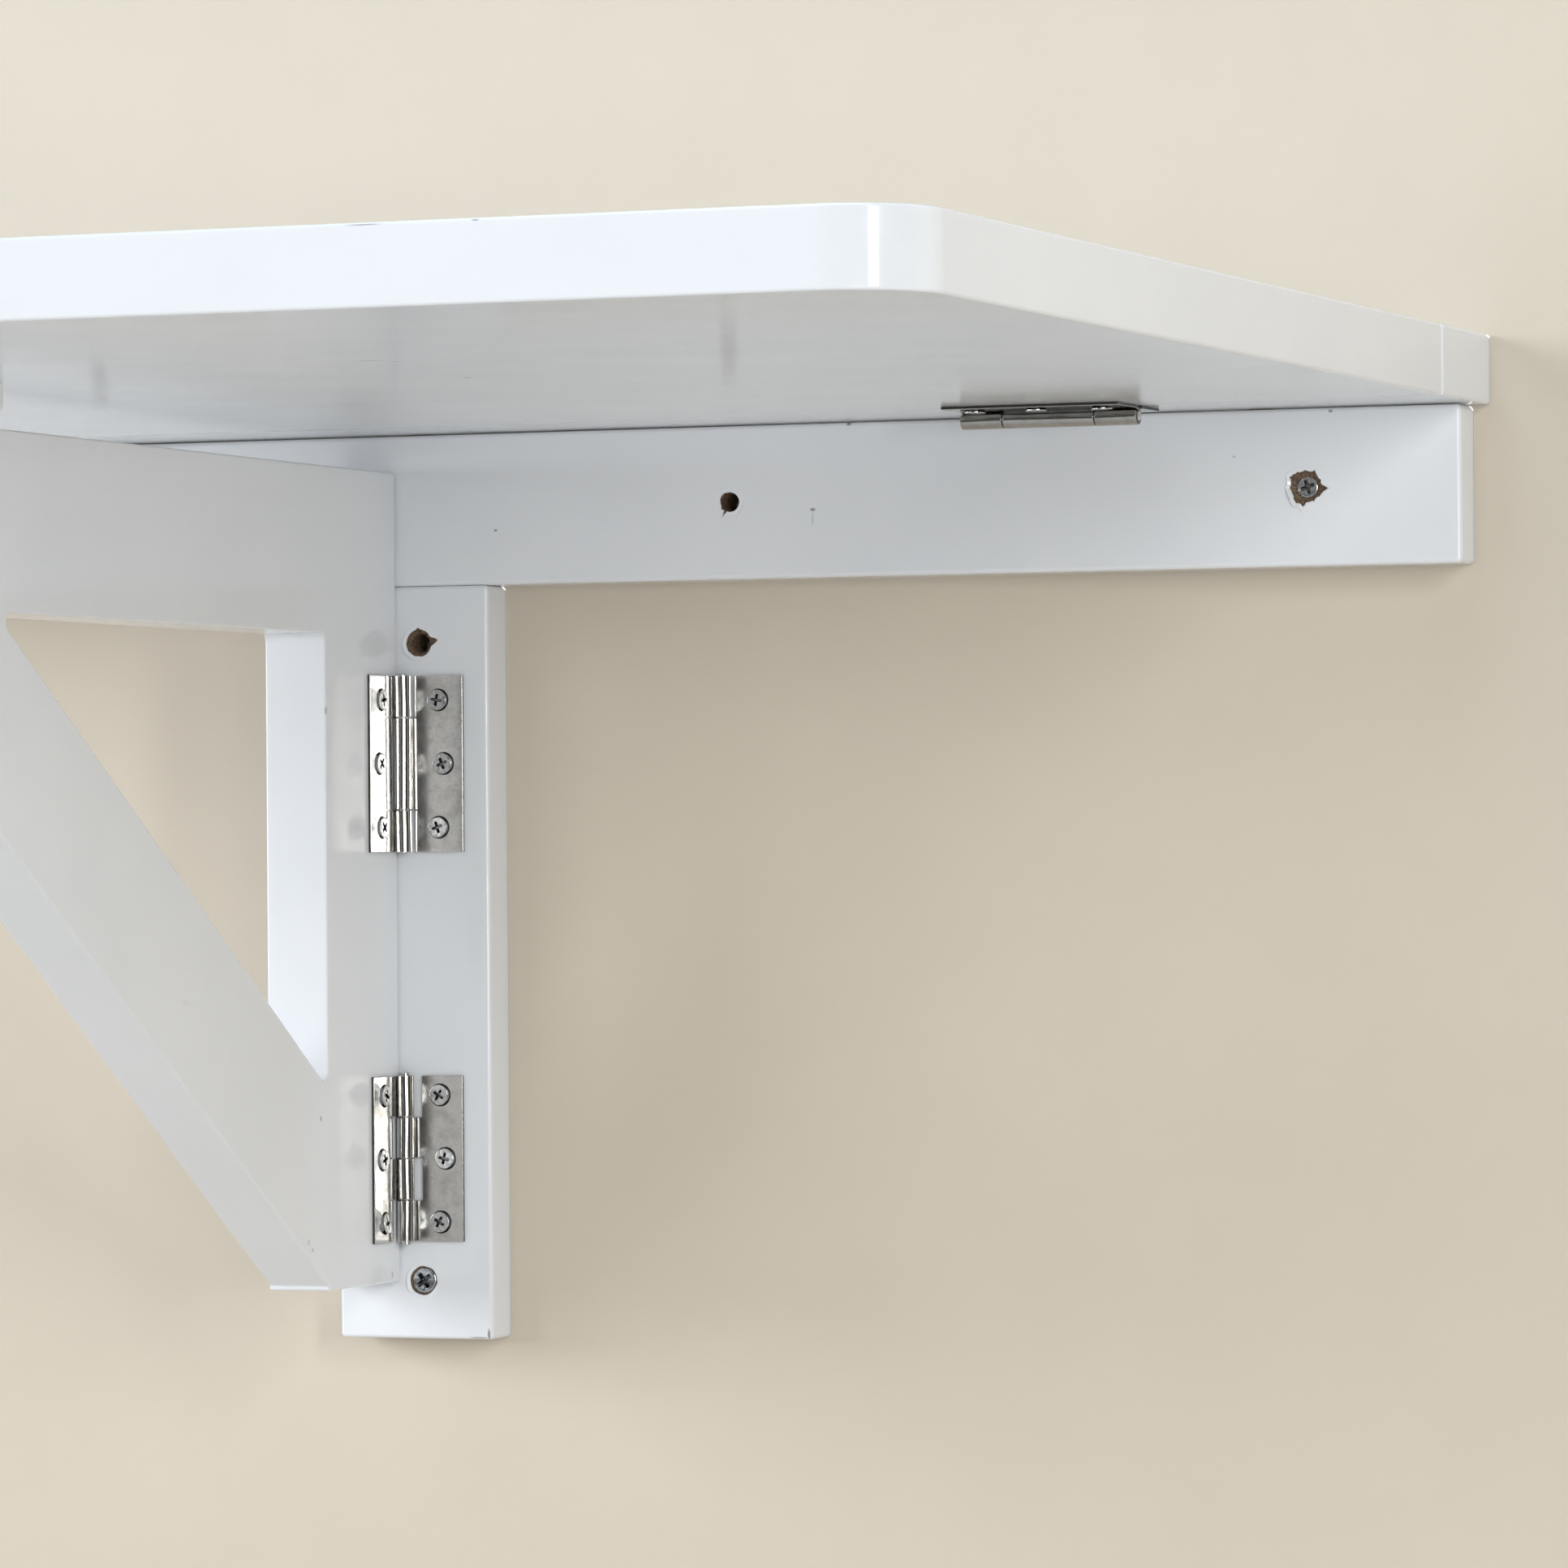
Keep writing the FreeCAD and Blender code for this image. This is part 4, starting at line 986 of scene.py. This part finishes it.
def softbox(name, azimuth, elevation, distance, wide, tall, power, tint):
    """A rectangular lamp that looks at the table from an azimuth (0 is the room side,
    90 the right end) and an elevation: its way out is (sin a cos e, -cos a cos e,
    sin e), and it stands the distance along it."""
    a, e = np.radians([azimuth, elevation])
    away = Vector((np.sin(a) * np.cos(e), -np.cos(a) * np.cos(e), np.sin(e)))
    lamp = bpy.data.lights.new(name, "AREA")
    lamp.shape, lamp.size, lamp.size_y = "RECTANGLE", wide, tall
    lamp.energy, lamp.color = power, tint
    box = bpy.data.objects.new(name, lamp)
    turn = away.to_track_quat("Z", "Y").to_matrix().to_4x4()
    box.matrix_world = Matrix.Translation(AIM + away * distance) @ turn
    box.visible_camera = False
    bpy.context.scene.collection.objects.link(box)


softbox("key_lamp", 48, 12, 3.0, 0.38, 1.7, 43, (0.97, 0.99, 1.0))
softbox("near_lamp", 32, -1.7, 3.0, 0.40, 0.38, 6.5, (1.0, 1.0, 1.0))
softbox("left_lamp", -36, 12, 3.0, 0.8, 1.6, 28, (0.95, 0.98, 1.0))
softbox("side_lamp", -70, 12, 3.0, 1.2, 1.4, 65, (0.86, 0.91, 1.0))
softbox("top_lamp", 10, 82, 2.6, 1.8, 1.8, 44, (0.68, 0.84, 1.0))
softbox("back_lamp", 180, 20, 3.0, 2.0, 1.4, 52, (1.0, 1.0, 1.0))

world = bpy.data.worlds.new("sky")
bpy.context.scene.world = world
world.use_nodes = True
sky = world.node_tree.nodes["Background"]
sky.inputs["Color"].default_value = (0.93, 0.965, 1.0, 1)
sky.inputs["Strength"].default_value = 0.05

# ------------------------------------------------------------------ camera
# It stands in the room to the right, a little below the shelf, and looks up at the
# hinges through a long lens.
EYE = (1.09314, -2.46632, -0.12899)
yaw, pitch, roll = np.radians([21.1846, 0.62, -0.4504])
forward = np.array([-np.sin(yaw) * np.cos(pitch), np.cos(yaw) * np.cos(pitch), np.sin(pitch)])
level = np.array([np.cos(yaw), np.sin(yaw), 0.0])
upward = np.cross(level, forward)
right = level * np.cos(roll) + upward * np.sin(roll)
above = upward * np.cos(roll) - level * np.sin(roll)
lens = bpy.data.cameras.new("camera")
lens.lens, lens.sensor_width, lens.clip_start, lens.clip_end = 169.87, 36, 0.05, 60
camera = bpy.data.objects.new("camera", lens)
bpy.context.scene.collection.objects.link(camera)
turn = Matrix(np.stack([right, above, -forward], 1).tolist()).to_4x4()
camera.matrix_world = Matrix.Translation(EYE) @ turn
bpy.context.scene.camera = camera
bpy.context.scene.view_settings.view_transform = "Standard"
